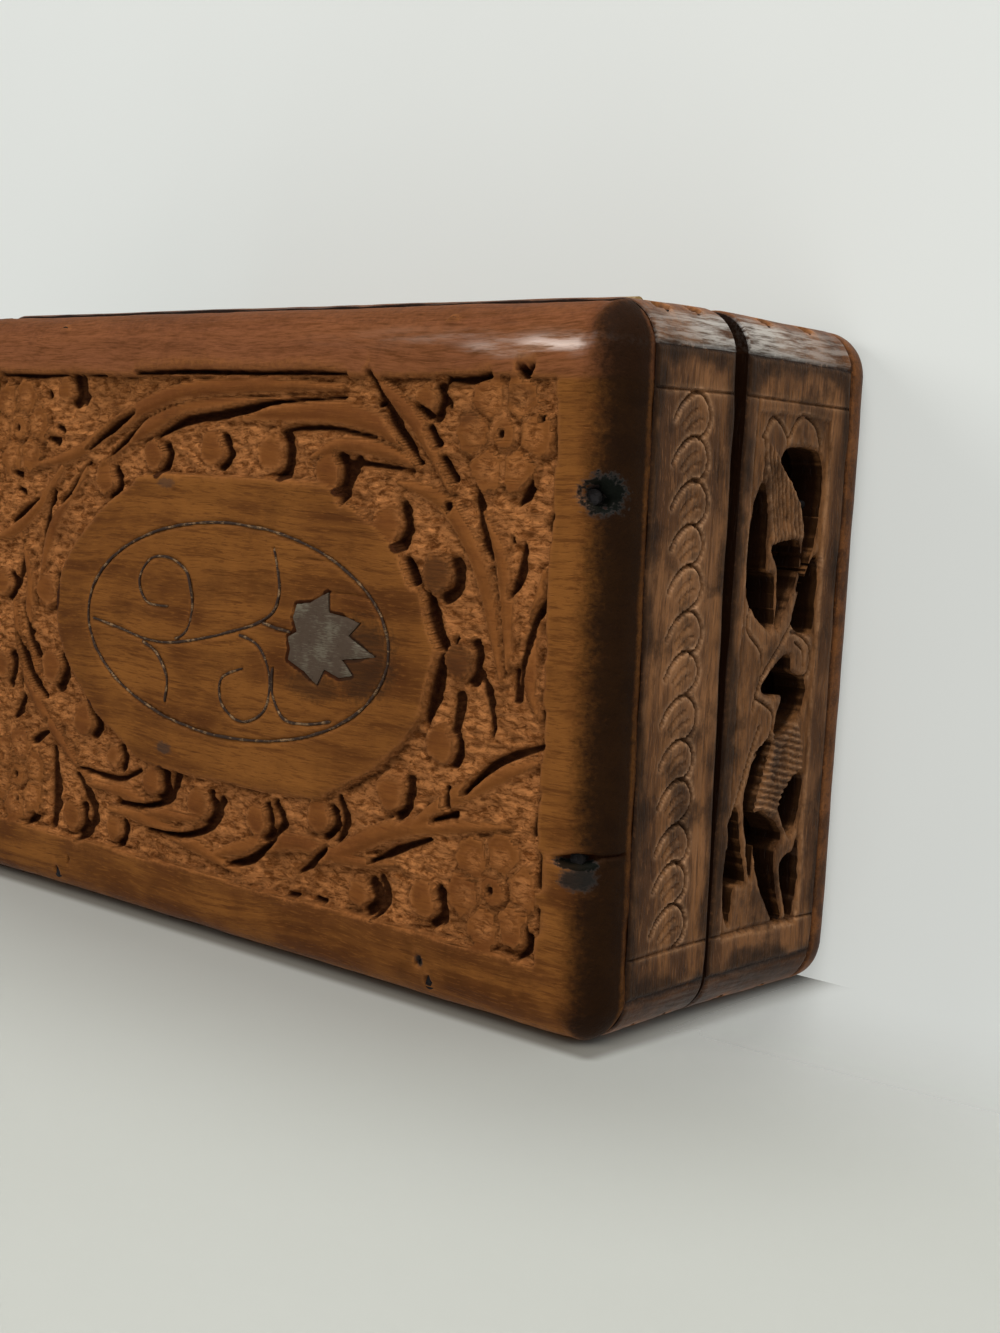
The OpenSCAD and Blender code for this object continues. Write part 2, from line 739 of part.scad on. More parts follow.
module base_frame_nails() {
    rusty_iron() translate([0, 0, bottom_t]) at_frame_nails(base_frame_h)
        nail(nail_l);
}

module bottom_nails() {
    rusty_iron() translate([0, 0, head_sink]) at_board_nails()
        rotate([180, 0, 0])
            nail(nail_l);
}

// Knuckle of a hinge, from one place to another along the barrel
module knuckle(from_x, to_x) {
    translate([from_x, 0, 0])
        rotate([0, 90, 0])
            cylinder(h = to_x - from_x, d = barrel_d);
}

// Bore for the pin through a whole hinge
module pin_bore() {
    translate([-hinge_l / 2 - past, 0, 0])
        rotate([0, 90, 0])
            cylinder(h = hinge_l + 2 * past, r = pin_d / 2 + pin_clear);
}

// Leaf of a hinge round the barrel's axis: drop is the depth of the leaf's wooden seat below the axis,
// outer says whether it carries the two outer knuckles or the one between them
module hinge_leaf(drop, outer) {
    inner_x = knuckle_l / 2;
    seat_edge = leaf_w + barrel_out;
    free_edge = barrel_d / 2 + knuckle_clear;
    difference() {
        union() {
            translate([-hinge_l / 2, -seat_edge, -drop])
                cube([hinge_l, seat_edge - free_edge, leaf_t]);
            if (outer) {
                for (side = [0, 1]) {
                    mirror([side, 0, 0]) {
                        translate([inner_x, -seat_edge, -drop])
                            cube([hinge_l / 2 - inner_x, seat_edge, leaf_t]);
                        knuckle(inner_x, hinge_l / 2);
                    }
                }
            }
            else {
                translate([-inner_x + knuckle_clear, -seat_edge, -drop])
                    cube([2 * (inner_x - knuckle_clear), seat_edge, leaf_t]);
                knuckle(-inner_x + knuckle_clear, inner_x - knuckle_clear);
            }
        }
        pin_bore();
        for (side = [-1, 1]) {
            translate([side * knuckle_l, -barrel_out - leaf_w / 2, -drop - past])
                cylinder(h = leaf_t + 2 * past, d = nail_d + 2 * nail_clear);
        }
    }
}

module base_leaf(side) {
    dull_brass() translate([side * hinge_x, barrel_y, barrel_z])
        hinge_leaf(back_gap / 2, true);
}

module lid_leaf(side) {
    dull_brass() on_base() translate([side * hinge_x, lid_barrel_y, -lid_barrel_drop])
        mirror([0, 0, 1])
            hinge_leaf(lid_barrel_drop, false);
}

module left_hinge_base_leaf() {
    base_leaf(-1);
}

module right_hinge_base_leaf() {
    base_leaf(1);
}

module left_hinge_lid_leaf() {
    lid_leaf(-1);
}

module right_hinge_lid_leaf() {
    lid_leaf(1);
}

// Hinge pin with a riveted head at each end
module hinge_pin(side) {
    dull_brass() translate([side * hinge_x, barrel_y, barrel_z]) rotate([0, 90, 0]) {
        cylinder(h = hinge_l + 2 * nail_head_t, d = pin_d, center = true);
        for (end = [-1, 1]) {
            translate([0, 0, end * (hinge_l + nail_head_t) / 2])
                cylinder(h = nail_head_t, d = nail_head_d, center = true);
        }
    }
}

module left_hinge_pin() {
    hinge_pin(-1);
}

module right_hinge_pin() {
    hinge_pin(1);
}

module base_hinge_nails() {
    dull_brass() translate([0, 0, rim_z + leaf_t + nail_head_t]) at_hinge_nails()
        nail(hinge_nail_l);
}

module lid_hinge_nails() {
    dull_brass() on_base() translate([0, 0, -leaf_t]) at_hinge_nails() rotate([180, 0, 0])
        translate([0, 0, nail_head_t])
            nail(hinge_nail_l);
}

bottom_board();
base_front_board();
base_back_board();
base_left_end();
base_right_end();
base_frame_nails();
bottom_nails();
left_hinge_base_leaf();
right_hinge_base_leaf();
left_hinge_pin();
right_hinge_pin();
base_hinge_nails();
lid_panel();
lid_front_board();
lid_back_board();
lid_left_end();
lid_right_end();
lid_frame_nails();
panel_nails();
left_hinge_lid_leaf();
right_hinge_lid_leaf();
lid_hinge_nails();
inlay_oval();
inlay_vine();
inlay_leaf();
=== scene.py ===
"""Looks of a carved keepsake box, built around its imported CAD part.

Boards are drawn in millimetres. Everything on the lid is drawn with the lid level, its rim on
Z = 0, and is then laid on the base as the CAD part lays it. Blender gets metres.
"""
import logging
import math
from dataclasses import dataclass, field, replace
from enum import Enum
from typing import Any, Optional, Sequence

import bmesh
import bpy
import numpy as np
from mathutils import Matrix, Vector


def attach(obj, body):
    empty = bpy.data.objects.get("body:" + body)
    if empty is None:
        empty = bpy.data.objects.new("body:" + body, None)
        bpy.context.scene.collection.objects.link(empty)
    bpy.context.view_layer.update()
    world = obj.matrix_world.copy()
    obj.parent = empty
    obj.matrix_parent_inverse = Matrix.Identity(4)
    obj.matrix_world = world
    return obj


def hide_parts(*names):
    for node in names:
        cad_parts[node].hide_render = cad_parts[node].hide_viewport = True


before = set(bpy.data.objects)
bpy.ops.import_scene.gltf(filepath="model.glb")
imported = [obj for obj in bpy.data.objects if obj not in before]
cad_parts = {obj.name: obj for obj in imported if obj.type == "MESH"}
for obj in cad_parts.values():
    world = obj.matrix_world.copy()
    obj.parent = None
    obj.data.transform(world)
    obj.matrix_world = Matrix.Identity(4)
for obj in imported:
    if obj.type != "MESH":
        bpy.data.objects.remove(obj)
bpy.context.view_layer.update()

LOG = logging.getLogger("keepsake_box")
Array = np.ndarray
Run = Sequence[tuple[float, ...]]
Pair = tuple[float, float]
Triple = tuple[float, float, float]
Tint = tuple[int, int, int]
MM = 0.001


# --- Sizes ---


@dataclass(frozen=True)
class BoxSizes:
    """Sizes of the box in millimetres, as the CAD part has them."""

    length: float = 150.0
    width: float = 101.2
    board: float = 6.2
    corner: float = 7.0
    base_frame: float = 27.7
    bottom: float = 6.2
    bottom_round: float = 4.5
    lid_depth: float = 27.15
    panel: float = 8.6
    top_round: float = 6.0
    front_gap: float = 0.35
    back_gap: float = 3.25
    border_end: float = 9.7
    border_side: float = 10.9
    line_inset: float = 12.0
    rim_line: float = 3.2
    nail_inset: float = 4.0
    end_nail_inset: float = 26.6
    side_nail_inset: float = 30.0
    nail_hole_r: float = 1.15

    @property
    def half_l(self) -> float:
        """Half the length."""
        return self.length / 2

    @property
    def half_w(self) -> float:
        """Half the width."""
        return self.width / 2

    @property
    def rim(self) -> float:
        """Height of the base's rim above the floor."""
        return self.bottom + self.base_frame

    @property
    def lid_frame(self) -> float:
        """Height of the lid's side and end boards."""
        return self.lid_depth - self.panel

    def lay(self) -> Array:
        """Works out how the lid lies on the base.

        Returns:
            The matrix, in millimetres, that lays the level lid there.
        """
        tilt = math.atan((self.back_gap - self.front_gap) / self.width)
        place = Matrix.Translation((0, -self.half_w, self.rim + self.front_gap))
        turn = Matrix.Rotation(tilt, 4, "X")
        return np.array(place @ turn @ Matrix.Translation((0, self.half_w, 0)))


SIZES = BoxSizes()
LEVEL = np.eye(4)


# --- Curves and random heights ---


def ease(low: float, high: float, value: Array) -> Array:
    """Rises smoothly from 0 to 1.

    Args:
        low: Value at which the rise starts.
        high: Value at which it ends.
        value: The values to ease.

    Returns:
        Shares from 0 to 1.
    """
    share = np.clip((value - low) / (high - low), 0.0, 1.0)
    return share * share * (3.0 - 2.0 * share)


def band(rise: Pair, fall: Pair, value: Array) -> Array:
    """Rises smoothly from 0 to 1 over one span and falls back over another."""
    return ease(*rise, value) * ease(fall[1], fall[0], value)


RIPPLE_TABLE = (97, 89)
RIPPLE_START = 500.0


def ripple(u: Array, v: Array, size: Pair, seed: int) -> Array:
    """Gives smooth random heights between -1 and 1.

    Args:
        u: First coordinates in millimetres.
        v: Second coordinates.
        size: Spacing of the bumps along u and along v.
        seed: Seed of the random table.

    Returns:
        A height for each point.
    """
    rows, columns = RIPPLE_TABLE
    table = np.random.default_rng(seed).uniform(-1.0, 1.0, RIPPLE_TABLE)
    x, y = u / size[0] + RIPPLE_START, v / size[1] + RIPPLE_START
    i, j = np.floor(x).astype(int), np.floor(y).astype(int)
    fx, fy = x - i, y - j
    fx, fy = fx * fx * (3 - 2 * fx), fy * fy * (3 - 2 * fy)
    i, j, k, m = i % rows, j % columns, (i + 1) % rows, (j + 1) % columns
    low = table[i, j] * (1 - fx) + table[k, j] * fx
    high = table[i, m] * (1 - fx) + table[k, m] * fx
    return low * (1 - fy) + high * fy


def smooth_run(points: Run, steps: int, closed: bool = False) -> Array:
    """Draws a smooth curve through points.

    Args:
        points: The points, each with any further values that are carried along.
        steps: Steps from one point to the next.
        closed: Whether the curve comes back to its start.

    Returns:
        The points of the curve, one per row.
    """
    p = np.asarray(points, float)
    n = len(p)
    spans = n if closed else n - 1
    index = np.arange(-1, spans + 2)
    q = p[index % n] if closed else p[np.clip(index, 0, n - 1)]
    share = np.linspace(0, 1, steps, endpoint=False)[None, :, None]
    a, b, c, d = (q[k:k + spans, None, :] for k in range(4))
    curve = 0.5 * (2 * b + (c - a) * share + (2 * a - 5 * b + 4 * c - d) * share ** 2
                   + (3 * b - a - 3 * c + d) * share ** 3)
    curve = curve.reshape(-1, p.shape[1])
    return curve if closed else np.vstack([curve, p[-1:]])


FAR = 1e9
TINY = 1e-9


def inside_distance(u: Array, v: Array, outline: Array) -> Array:
    """Measures how far points lie inside a closed outline.

    Args:
        u: First coordinates.
        v: Second coordinates.
        outline: Corners of the outline, one per row.

    Returns:
        Distances to the outline, negative outside it.
    """
    nearest = np.full(u.shape, FAR)
    inside = np.zeros(u.shape, bool)
    for a, b in zip(outline, np.roll(outline, -1, axis=0)):
        dx, dy = b[0] - a[0], b[1] - a[1]
        share = np.clip(((u - a[0]) * dx + (v - a[1]) * dy) / max(dx * dx + dy * dy, TINY), 0, 1)
        nearest = np.minimum(nearest, np.hypot(u - a[0] - share * dx, v - a[1] - share * dy))
        if abs(dy) > TINY:
            crosses = (a[1] > v) != (b[1] > v)
            inside ^= crosses & (u < a[0] + (v - a[1]) * dx / dy)
    return np.where(inside, nearest, -nearest)


def along_run(u: Array, v: Array, run: Array) -> tuple[Array, Array, Array]:
    """Measures points against a run whose rows are x, y and half width.

    Args:
        u: First coordinates.
        v: Second coordinates.
        run: The run's points.

    Returns:
        The distance from the run, the half width at the nearest place and the side: 1 left, -1 right.
    """
    nearest = np.full(u.shape, FAR)
    half, side = np.zeros(u.shape), np.zeros(u.shape)
    for a, b in zip(run[:-1], run[1:]):
        dx, dy = b[0] - a[0], b[1] - a[1]
        share = np.clip(((u - a[0]) * dx + (v - a[1]) * dy) / (dx * dx + dy * dy), 0, 1)
        px, py = u - a[0] - share * dx, v - a[1] - share * dy
        distance = np.hypot(px, py)
        closer = distance < nearest
        nearest = np.where(closer, distance, nearest)
        half = np.where(closer, a[2] + share * (b[2] - a[2]), half)
        side = np.where(closer, np.sign(dx * py - dy * px), side)
    return nearest, half, side


def spread(low: float, high: float, pitch: float) -> Array:
    """Gives even stops from one value to another, about a pitch apart."""
    return np.linspace(low, high, max(2, round((high - low) / pitch) + 1))


def edged_stops(low: float, high: float, pitch: float) -> Array:
    """Gives even stops with a few finer ones at both ends, for an edge eased by wear."""
    fine, even_from = np.array([0.0, 0.14, 0.32, 0.6]), 1.0
    even = spread(low + even_from, high - even_from, pitch)
    return np.concatenate([low + fine, even, (high - fine)[::-1]])


# --- Carved boards ---


@dataclass
class Sheet:
    """Outer surface of a board before it is carved, as a grid of points in millimetres.

    The board goes from there to a flat inner face, which lies at a value on one axis.
    """

    points: Array
    normals: Array
    u: Array
    v: Array
    rim: Array
    inner_axis: int
    inner_at: float

    BEND_STEP = 7.5
    EDGE_PITCH = 0.9
    END_STEPS = 13

    @staticmethod
    def rounded(sizes: BoxSizes, thickness: float, rounding: float, pitch: float,
                even: Pair, level: float, up: int) -> "Sheet":
        """Draws a top or bottom board: flat, rounded all round and then straight down its sides.

        Args:
            sizes: The box's sizes.
            thickness: The board's thickness.
            rounding: Radius of the rounding.
            pitch: Pitch of the grid inside the even part.
            even: Half sizes of the even part.
            level: Height of the flat face.
            up: 1 where the face looks up, -1 where it looks down.

        Returns:
            The sheet.
        """
        bend = np.radians(np.arange(0, 90 + Sheet.BEND_STEP / 2, Sheet.BEND_STEP))
        side = thickness - rounding
        down = np.array([0.25, 0.55, 0.78, 0.92, 1.0]) * side

        def stops(half: float, even_half: float) -> Array:
            """Gives the grid's stops on one axis.

            Args:
                half: Half the board's size on it.
                even_half: Half the size of its even part.

            Returns:
                The stops, which go on down the board's sides.
            """
            edge = half - rounding
            flat = spread(even_half, edge, Sheet.EDGE_PITCH)[1:-1]
            outer = np.concatenate([flat, edge + rounding * np.sin(bend), half + down])
            return np.concatenate([-outer[::-1], spread(-even_half, even_half, pitch), outer])

        u, v = np.meshgrid(stops(sizes.half_l, even[0]), stops(sizes.half_w, even[1]), indexing="ij")
        core = np.array([sizes.half_l - sizes.corner, sizes.half_w - sizes.corner])
        a, b = np.maximum(np.abs(u) - core[0], 0), np.maximum(np.abs(v) - core[1], 0)
        reach = np.maximum(a, b)
        low, high = np.minimum(a, b), np.maximum(reach, TINY)
        turn = np.where(a >= b, low / high, 2 - low / high) * math.pi / 4
        way_x = np.cos(turn) * (reach > 0) * np.sign(u)
        way_y = np.sin(turn) * (reach > 0) * np.sign(v)
        out = np.minimum(reach, sizes.corner)
        x = np.clip(u, -core[0], core[0]) + out * way_x
        y = np.clip(v, -core[1], core[1]) + out * way_y
        bent = np.arcsin(np.clip((out - sizes.corner + rounding) / rounding, 0, 1))
        drop = rounding * (1 - np.cos(bent)) + np.maximum(reach - sizes.corner, 0)
        points = np.stack([x, y, level - up * drop], -1)
        normals = np.stack([way_x * np.sin(bent), way_y * np.sin(bent), up * np.cos(bent)], -1)
        rim = sizes.corner + side - reach
        return Sheet(points, normals, u, v, rim, 2, level - up * thickness)

    @staticmethod
    def long_side(sizes: BoxSizes, low: float, high: float, side: int, pitch: float) -> "Sheet":
        """Draws the outer face of a front or back board, with its rounded upright ends.

        Args:
            sizes: The box's sizes.
            low: Height of its lower edge.
            high: Height of its upper edge.
            side: 1 for the back board, -1 for the front one.
            pitch: Pitch of the grid.

        Returns:
            The sheet. Its u runs along X on the flat part and on round the ends.
        """
        radius, core = sizes.corner, sizes.half_l - sizes.corner
        start = math.asin((radius - sizes.board) / radius)
        bend = np.linspace(start, math.pi / 2, Sheet.END_STEPS)[:-1]
        flat = spread(-core, core, pitch)
        round_x, round_y = core + radius * np.cos(bend), radius * np.sin(bend)
        x = np.concatenate([-round_x, flat, round_x[::-1]])
        y = np.concatenate([round_y, np.full(len(flat), radius), round_y[::-1]])
        way = np.concatenate([math.pi - bend, np.full(len(flat), math.pi / 2), bend[::-1]])
        arc = core + radius * (math.pi / 2 - bend)
        run = np.concatenate([-arc, flat, arc[::-1]])
        heights = edged_stops(low, high, pitch)
        u, v = np.meshgrid(run, heights - low, indexing="ij")
        row = np.ones(len(heights))
        across = side * (sizes.half_w - radius + np.outer(y, row))
        points = np.stack([np.outer(x, row), across, v + low], -1)
        normals = np.stack([np.outer(np.cos(way), row), side * np.outer(np.sin(way), row), 0 * v], -1)
        end = np.minimum(u - run[0], run[-1] - u)
        rim = np.minimum(np.minimum(v, high - low - v), end)
        return Sheet(points, normals, u, v, rim, 1, side * (sizes.half_w - sizes.board))

    @staticmethod
    def end(sizes: BoxSizes, low: float, high: float, side: int, pitch: float) -> "Sheet":
        """Draws the outer face of an end board.

        Args:
            sizes: The box's sizes.
            low: Height of its lower edge.
            high: Height of its upper edge.
            side: 1 for the right end, -1 for the left one.
            pitch: Pitch of the grid.

        Returns:
            The sheet. Its u runs along Y.
        """
        half = sizes.half_w - sizes.board
        along, up = edged_stops(-half, half, pitch), edged_stops(0, high - low, pitch)
        u, v = np.meshgrid(along, up, indexing="ij")
        points = np.stack([np.full(u.shape, side * sizes.half_l), u, v + low], -1)
        normals = np.stack([np.full(u.shape, float(side)), 0 * u, 0 * u], -1)
        rim = np.minimum(half - np.abs(u), np.minimum(v, high - low - v))
        return Sheet(points, normals, u, v, rim, 0, side * (sizes.half_l - sizes.board))

    @staticmethod
    def plate(low: Pair, high: Pair, level: float, thickness: float,
              pitch: float) -> "Sheet":
        """Draws a level plate, for cutting to an outline.

        Args:
            low: Its lowest corner.
            high: Its highest corner.
            level: Height of its upper face.
            thickness: Its thickness.
            pitch: Pitch of the grid.

        Returns:
            The sheet.
        """
        along, across = (spread(low[axis], high[axis], pitch) for axis in (0, 1))
        u, v = np.meshgrid(along, across, indexing="ij")
        points = np.stack([u, v, np.full(u.shape, level)], -1)
        normals = np.stack([0 * u, 0 * u, 0 * u + 1.0], -1)
        return Sheet(points, normals, u, v, np.full(u.shape, FAR), 2, level - thickness)


class Relief:
    """Heights that are carved into a sheet, in millimetres from its face, and the marks its wood shows."""

    WALL = 3.2
    LEAF_MARGIN = 3.5
    GOUGE_MARGIN = 2.5
    GROOVE_MARGIN = 1.5
    NEAR_BLUR, WIDE_BLUR = 4, 30

    def __init__(self, sheet: Sheet) -> None:
        """Starts with a flat face.

        Args:
            sheet: The sheet that is carved.
        """
        self.sheet = sheet
        self.u, self.v = sheet.u, sheet.v
        self.height = np.zeros(self.u.shape)
        self.marks: dict[str, Array] = {"cut": np.zeros(self.u.shape)}

    def wave(self, size: Pair, seed: int) -> Array:
        """Gives random heights between -1 and 1 over the sheet."""
        return ripple(self.u, self.v, size, seed)

    def near(self, run: Array, margin: float) -> Array:
        """Tells which points lie round a run.

        Args:
            run: The run's points.
            margin: How far round it.

        Returns:
            True where a point is near.
        """
        low, high = run[:, :2].min(0) - margin, run[:, :2].max(0) + margin
        return (self.u > low[0]) & (self.u < high[0]) & (self.v > low[1]) & (self.v < high[1])

    def sink_field(self, edge: Array, floor: Array) -> None:
        """Sinks the carved field.

        Args:
            edge: Distance inside the field's edge.
            floor: Height of its floor.
        """
        wall = np.minimum(0.0, -edge * self.WALL)
        self.height = np.where(edge > 0, np.maximum(floor, wall), self.height)

    def stand(self, inside: Array, crest: Array, at: Optional[Array] = None) -> None:
        """Leaves a shape standing out of the sunk field.

        Args:
            inside: Distance inside the shape's outline, negative outside it.
            crest: Height of its top.
            at: Which points of the sheet these are, or all.
        """
        at = np.s_[:] if at is None else at
        top = crest + np.minimum(0.0, inside) * self.WALL
        self.height[at] = np.maximum(self.height[at], top)

    def stand_run(self, points: Run, crest: float, tilt: float) -> None:
        """Leaves a leaf standing along a run.

        Args:
            points: x, y and half width along its spine.
            crest: Height of its spine.
            tilt: How far its right side leans down.
        """
        run = smooth_run(points, 6)
        at = self.near(run, self.LEAF_MARGIN)
        distance, half, side = along_run(self.u[at], self.v[at], run)
        half = np.maximum(half, 0.3)
        share = np.clip(distance / half, 0, 1.4)
        top = crest - 0.28 * share ** 2 - tilt * np.where(side < 0, share, 0.25 * share)
        self.stand(half - distance, top, at)

    def gouge(self, points: Run, floor: float) -> None:
        """Cuts a gouge mark along a run, and marks it as a cut that gets painted shade.

        Args:
            points: x, y and half width along it.
            floor: Height of its bottom.
        """
        run = smooth_run(points, 5)
        at = self.near(run, self.GOUGE_MARGIN)
        distance, half, _ = along_run(self.u[at], self.v[at], run)
        ragged = distance + 0.06 * self.wave((1.1, 0.9), 17)[at] + 0.06 * self.wave((2.3, 1.7), 18)[at]
        self.sink(at, ease(1.0, -1.0, (ragged - 0.9 * half) / 0.38), floor)

    def sink(self, at: Array, share: Array, floor: float) -> None:
        """Sinks some points towards a floor and marks them as a cut that gets painted shade.

        Args:
            at: Which points of the sheet.
            share: How far each goes, from 0 to 1.
            floor: Height of the floor.
        """
        level = self.height[at]
        self.height[at] = level + np.minimum(floor - level, 0) * share
        # The cut mark paints shade into the sunk places
        self.marks["cut"][at] = np.maximum(self.marks["cut"][at], share)

    def groove(self, points: Run, half: float, depth: float, steps: int = 5,
               closed: bool = False) -> None:
        """Cuts a thin line of even width into the surface as it is.

        Args:
            points: x and y along it.
            half: Half its width.
            depth: Its depth below the surface.
            steps: Steps from one point to the next.
            closed: Whether it comes back to its start.
        """
        run = smooth_run([(p[0], p[1], half) for p in points], steps, closed)
        if closed:
            run = np.vstack([run, run[:1]])
        at = self.near(run, self.GROOVE_MARGIN)
        distance, _, _ = along_run(self.u[at], self.v[at], run)
        self.height[at] -= depth * (1 - ease(0.35 * half, 1.25 * half, distance))

    def pit(self, x: float, y: float, radius: float, depth: float, seed: int) -> None:
        """Sinks a small uneven hole.

        Args:
            x: Its centre on u.
            y: Its centre on v.
            radius: Its radius.
            depth: Its depth below the surface.
            seed: Seed of its uneven edge.
        """
        distance = np.hypot(self.u - x, self.v - y) + 0.18 * radius * self.wave((0.8, 0.8), 300 + seed)
        share = 1 - ease(0.6 * radius, 1.15 * radius, distance)
        self.height -= depth * share
        # Painted shade in the pit, through the cut mark
        self.marks["cut"] = np.maximum(self.marks["cut"], share * min(1.0, depth))

    def wear_rim(self, depth: float, reach: float, seed: int) -> None:
        """Eases the board's edges, as planing and handling do.

        Args:
            depth: How far the very edge falls back.
            reach: How far in the easing goes.
            seed: Seed of its unevenness.
        """
        wander = 1 + 0.55 * self.wave((5.0, 5.0), seed)
        self.height -= depth * wander * (1 - ease(0, 1, self.sheet.rim / (reach * wander)))

    def find_marks(self, ground: Optional[Pair] = None) -> None:
        """Works out where the wood is freshly cut, where painted shade darkens its recesses, where its ridges
        show wear and a painted highlight, and where its edges are, from the heights.

        Args:
            ground: Heights at which the cut ground starts to show and shows fully, if there is any.
        """
        near, wide = self.blurred(self.NEAR_BLUR), self.blurred(self.WIDE_BLUR)
        self.marks["ground"] = ease(*ground, self.height) if ground else 0 * self.height
        # Depth below the wide and the near surroundings; the cavity mark made from it is painted shade
        hollow_shade, nick = (np.clip((level - self.height) / full, 0, 1)
                        for level, full in ((wide, 1.6), (near, 0.5)))
        self.marks["cavity"] = hollow_shade * 0.35 + nick * 0.7
        self.marks["ridge"] = np.clip((self.height - near) / 0.28, 0, 1)
        self.marks["seam"] = 1 - ease(0.05, 0.5, self.sheet.rim)

    def blurred(self, rounds: int) -> Array:
        """Blurs the heights.

        Args:
            rounds: How many times neighbours are averaged.

        Returns:
            The blurred heights.
        """
        height = self.height
        for _ in range(rounds):
            padded = np.pad(height, 1, mode="edge")
            height = (padded[1:-1, 1:-1] * 2 + padded[:-2, 1:-1] + padded[2:, 1:-1]
                      + padded[1:-1, :-2] + padded[1:-1, 2:]) / 6
        return height


@dataclass
class Shell:
    """Vertices, faces and face-corner map places of a piece that is being put together."""

    points: list[Array] = field(default_factory=list)
    faces: list[list[int]] = field(default_factory=list)
    places: list[Pair] = field(default_factory=list)
    marks: dict[str, list[Array]] = field(default_factory=dict)
    count: int = 0

    def add_points(self, points: Array, marks: dict[str, Array]) -> int:
        """Adds vertices.

        Args:
            points: One vertex per row, in millimetres.
            marks: A value per vertex under each mark's name.

        Returns:
            The index of the first one.
        """
        first = self.count
        self.points.append(points)
        self.count += len(points)
        for name, values in marks.items():
            self.marks.setdefault(name, []).append(values)
        return first

    def add_face(self, corners: Sequence[int], places: Sequence[Pair]) -> None:
        """Adds a face and where its corners lie on the map."""
        self.faces.append(corners)
        self.places.extend(places)


MAP_LOW, MAP_SPAN = 0.01, 0.98


def map_stop(share: float) -> float:
    """Gives the place of a share of the map's width."""
    return MAP_LOW + MAP_SPAN * share


def grid_places(shape: tuple[int, int], low: float, high: float) -> Array:
    """Gives the map places of a grid's points.

    Args:
        shape: Rows and columns of the grid.
        low: Where its part of the map starts on the second axis.
        high: Where it ends.

    Returns:
        One place per point.
    """
    along, across = np.linspace(map_stop(0), map_stop(1), shape[0]), np.linspace(low, high, shape[1])
    return np.stack(np.meshgrid(along, across, indexing="ij"), -1).reshape(-1, 2)


def grid_faces(shape: tuple[int, int]) -> Array:
    """Finds the corners of a grid's cells.

    Args:
        shape: Rows and columns of the grid.

    Returns:
        Four indices per cell.
    """
    index = np.arange(shape[0] * shape[1]).reshape(shape)
    cells = np.stack([index[:-1, :-1], index[1:, :-1], index[1:, 1:], index[:-1, 1:]], -1)
    return cells.reshape(-1, 4)


def grid_loop(shape: tuple[int, int]) -> Array:
    """Gives the indices round the border of a grid, once round."""
    index = np.arange(shape[0] * shape[1]).reshape(shape)
    return np.concatenate([index[:-1, 0], index[-1, :-1], index[:0:-1, -1], index[0, :0:-1]])


INNER_INSET = 0.8


def solid_board(relief: Relief) -> Shell:
    """Closes a carved sheet into a solid board with a flat inner face.

    Args:
        relief: The carved sheet.

    Returns:
        The board's shell.
    """
    sheet, shell = relief.sheet, Shell()
    shape = relief.height.shape
    outer = (sheet.points + sheet.normals * relief.height[..., None]).reshape(-1, 3)
    shell.add_points(outer, {name: mark.reshape(-1) for name, mark in relief.marks.items()})
    places = grid_places(shape, MAP_LOW, 0.62)
    cells = grid_faces(shape)
    shell.faces = cells.tolist()
    shell.places = [tuple(p) for p in places[cells].reshape(-1, 2).tolist()]
    loop = grid_loop(shape)
    inner = outer[loop].copy()
    inner[:, sheet.inner_axis] = sheet.inner_at
    across = [axis for axis in range(3) if axis != sheet.inner_axis]
    low, high = inner[:, across].min(0), inner[:, across].max(0)
    share = (inner[:, across] - low) / (high - low)
    inset = 0.5 + (share - 0.5) * (1 - 2 * INNER_INSET / (high - low))
    within = inner.copy()
    within[:, across] = low + inset * (high - low)
    bare = {name: np.zeros(len(loop)) for name in relief.marks}
    first, second, size = shell.add_points(inner, bare), shell.add_points(within, bare), len(loop)
    rim, flat = (((MAP_LOW, 0.7) + part * (MAP_SPAN, 0.29)).tolist() for part in (share, inset))
    for k in range(size):
        n = (k + 1) % size
        a, b = map_stop(k / size), map_stop((k + 1) / size)
        shell.add_face([int(loop[k]), first + k, first + n, int(loop[n])],
                       [(a, 0.64), (a, 0.68), (b, 0.68), (b, 0.64)])
        shell.add_face([first + k, second + k, second + n, first + n],
                       [rim[k], flat[k], flat[n], rim[n]])
    shell.add_face(range(second, second + size), flat)
    return shell


LEAST_SHARE = 0.06


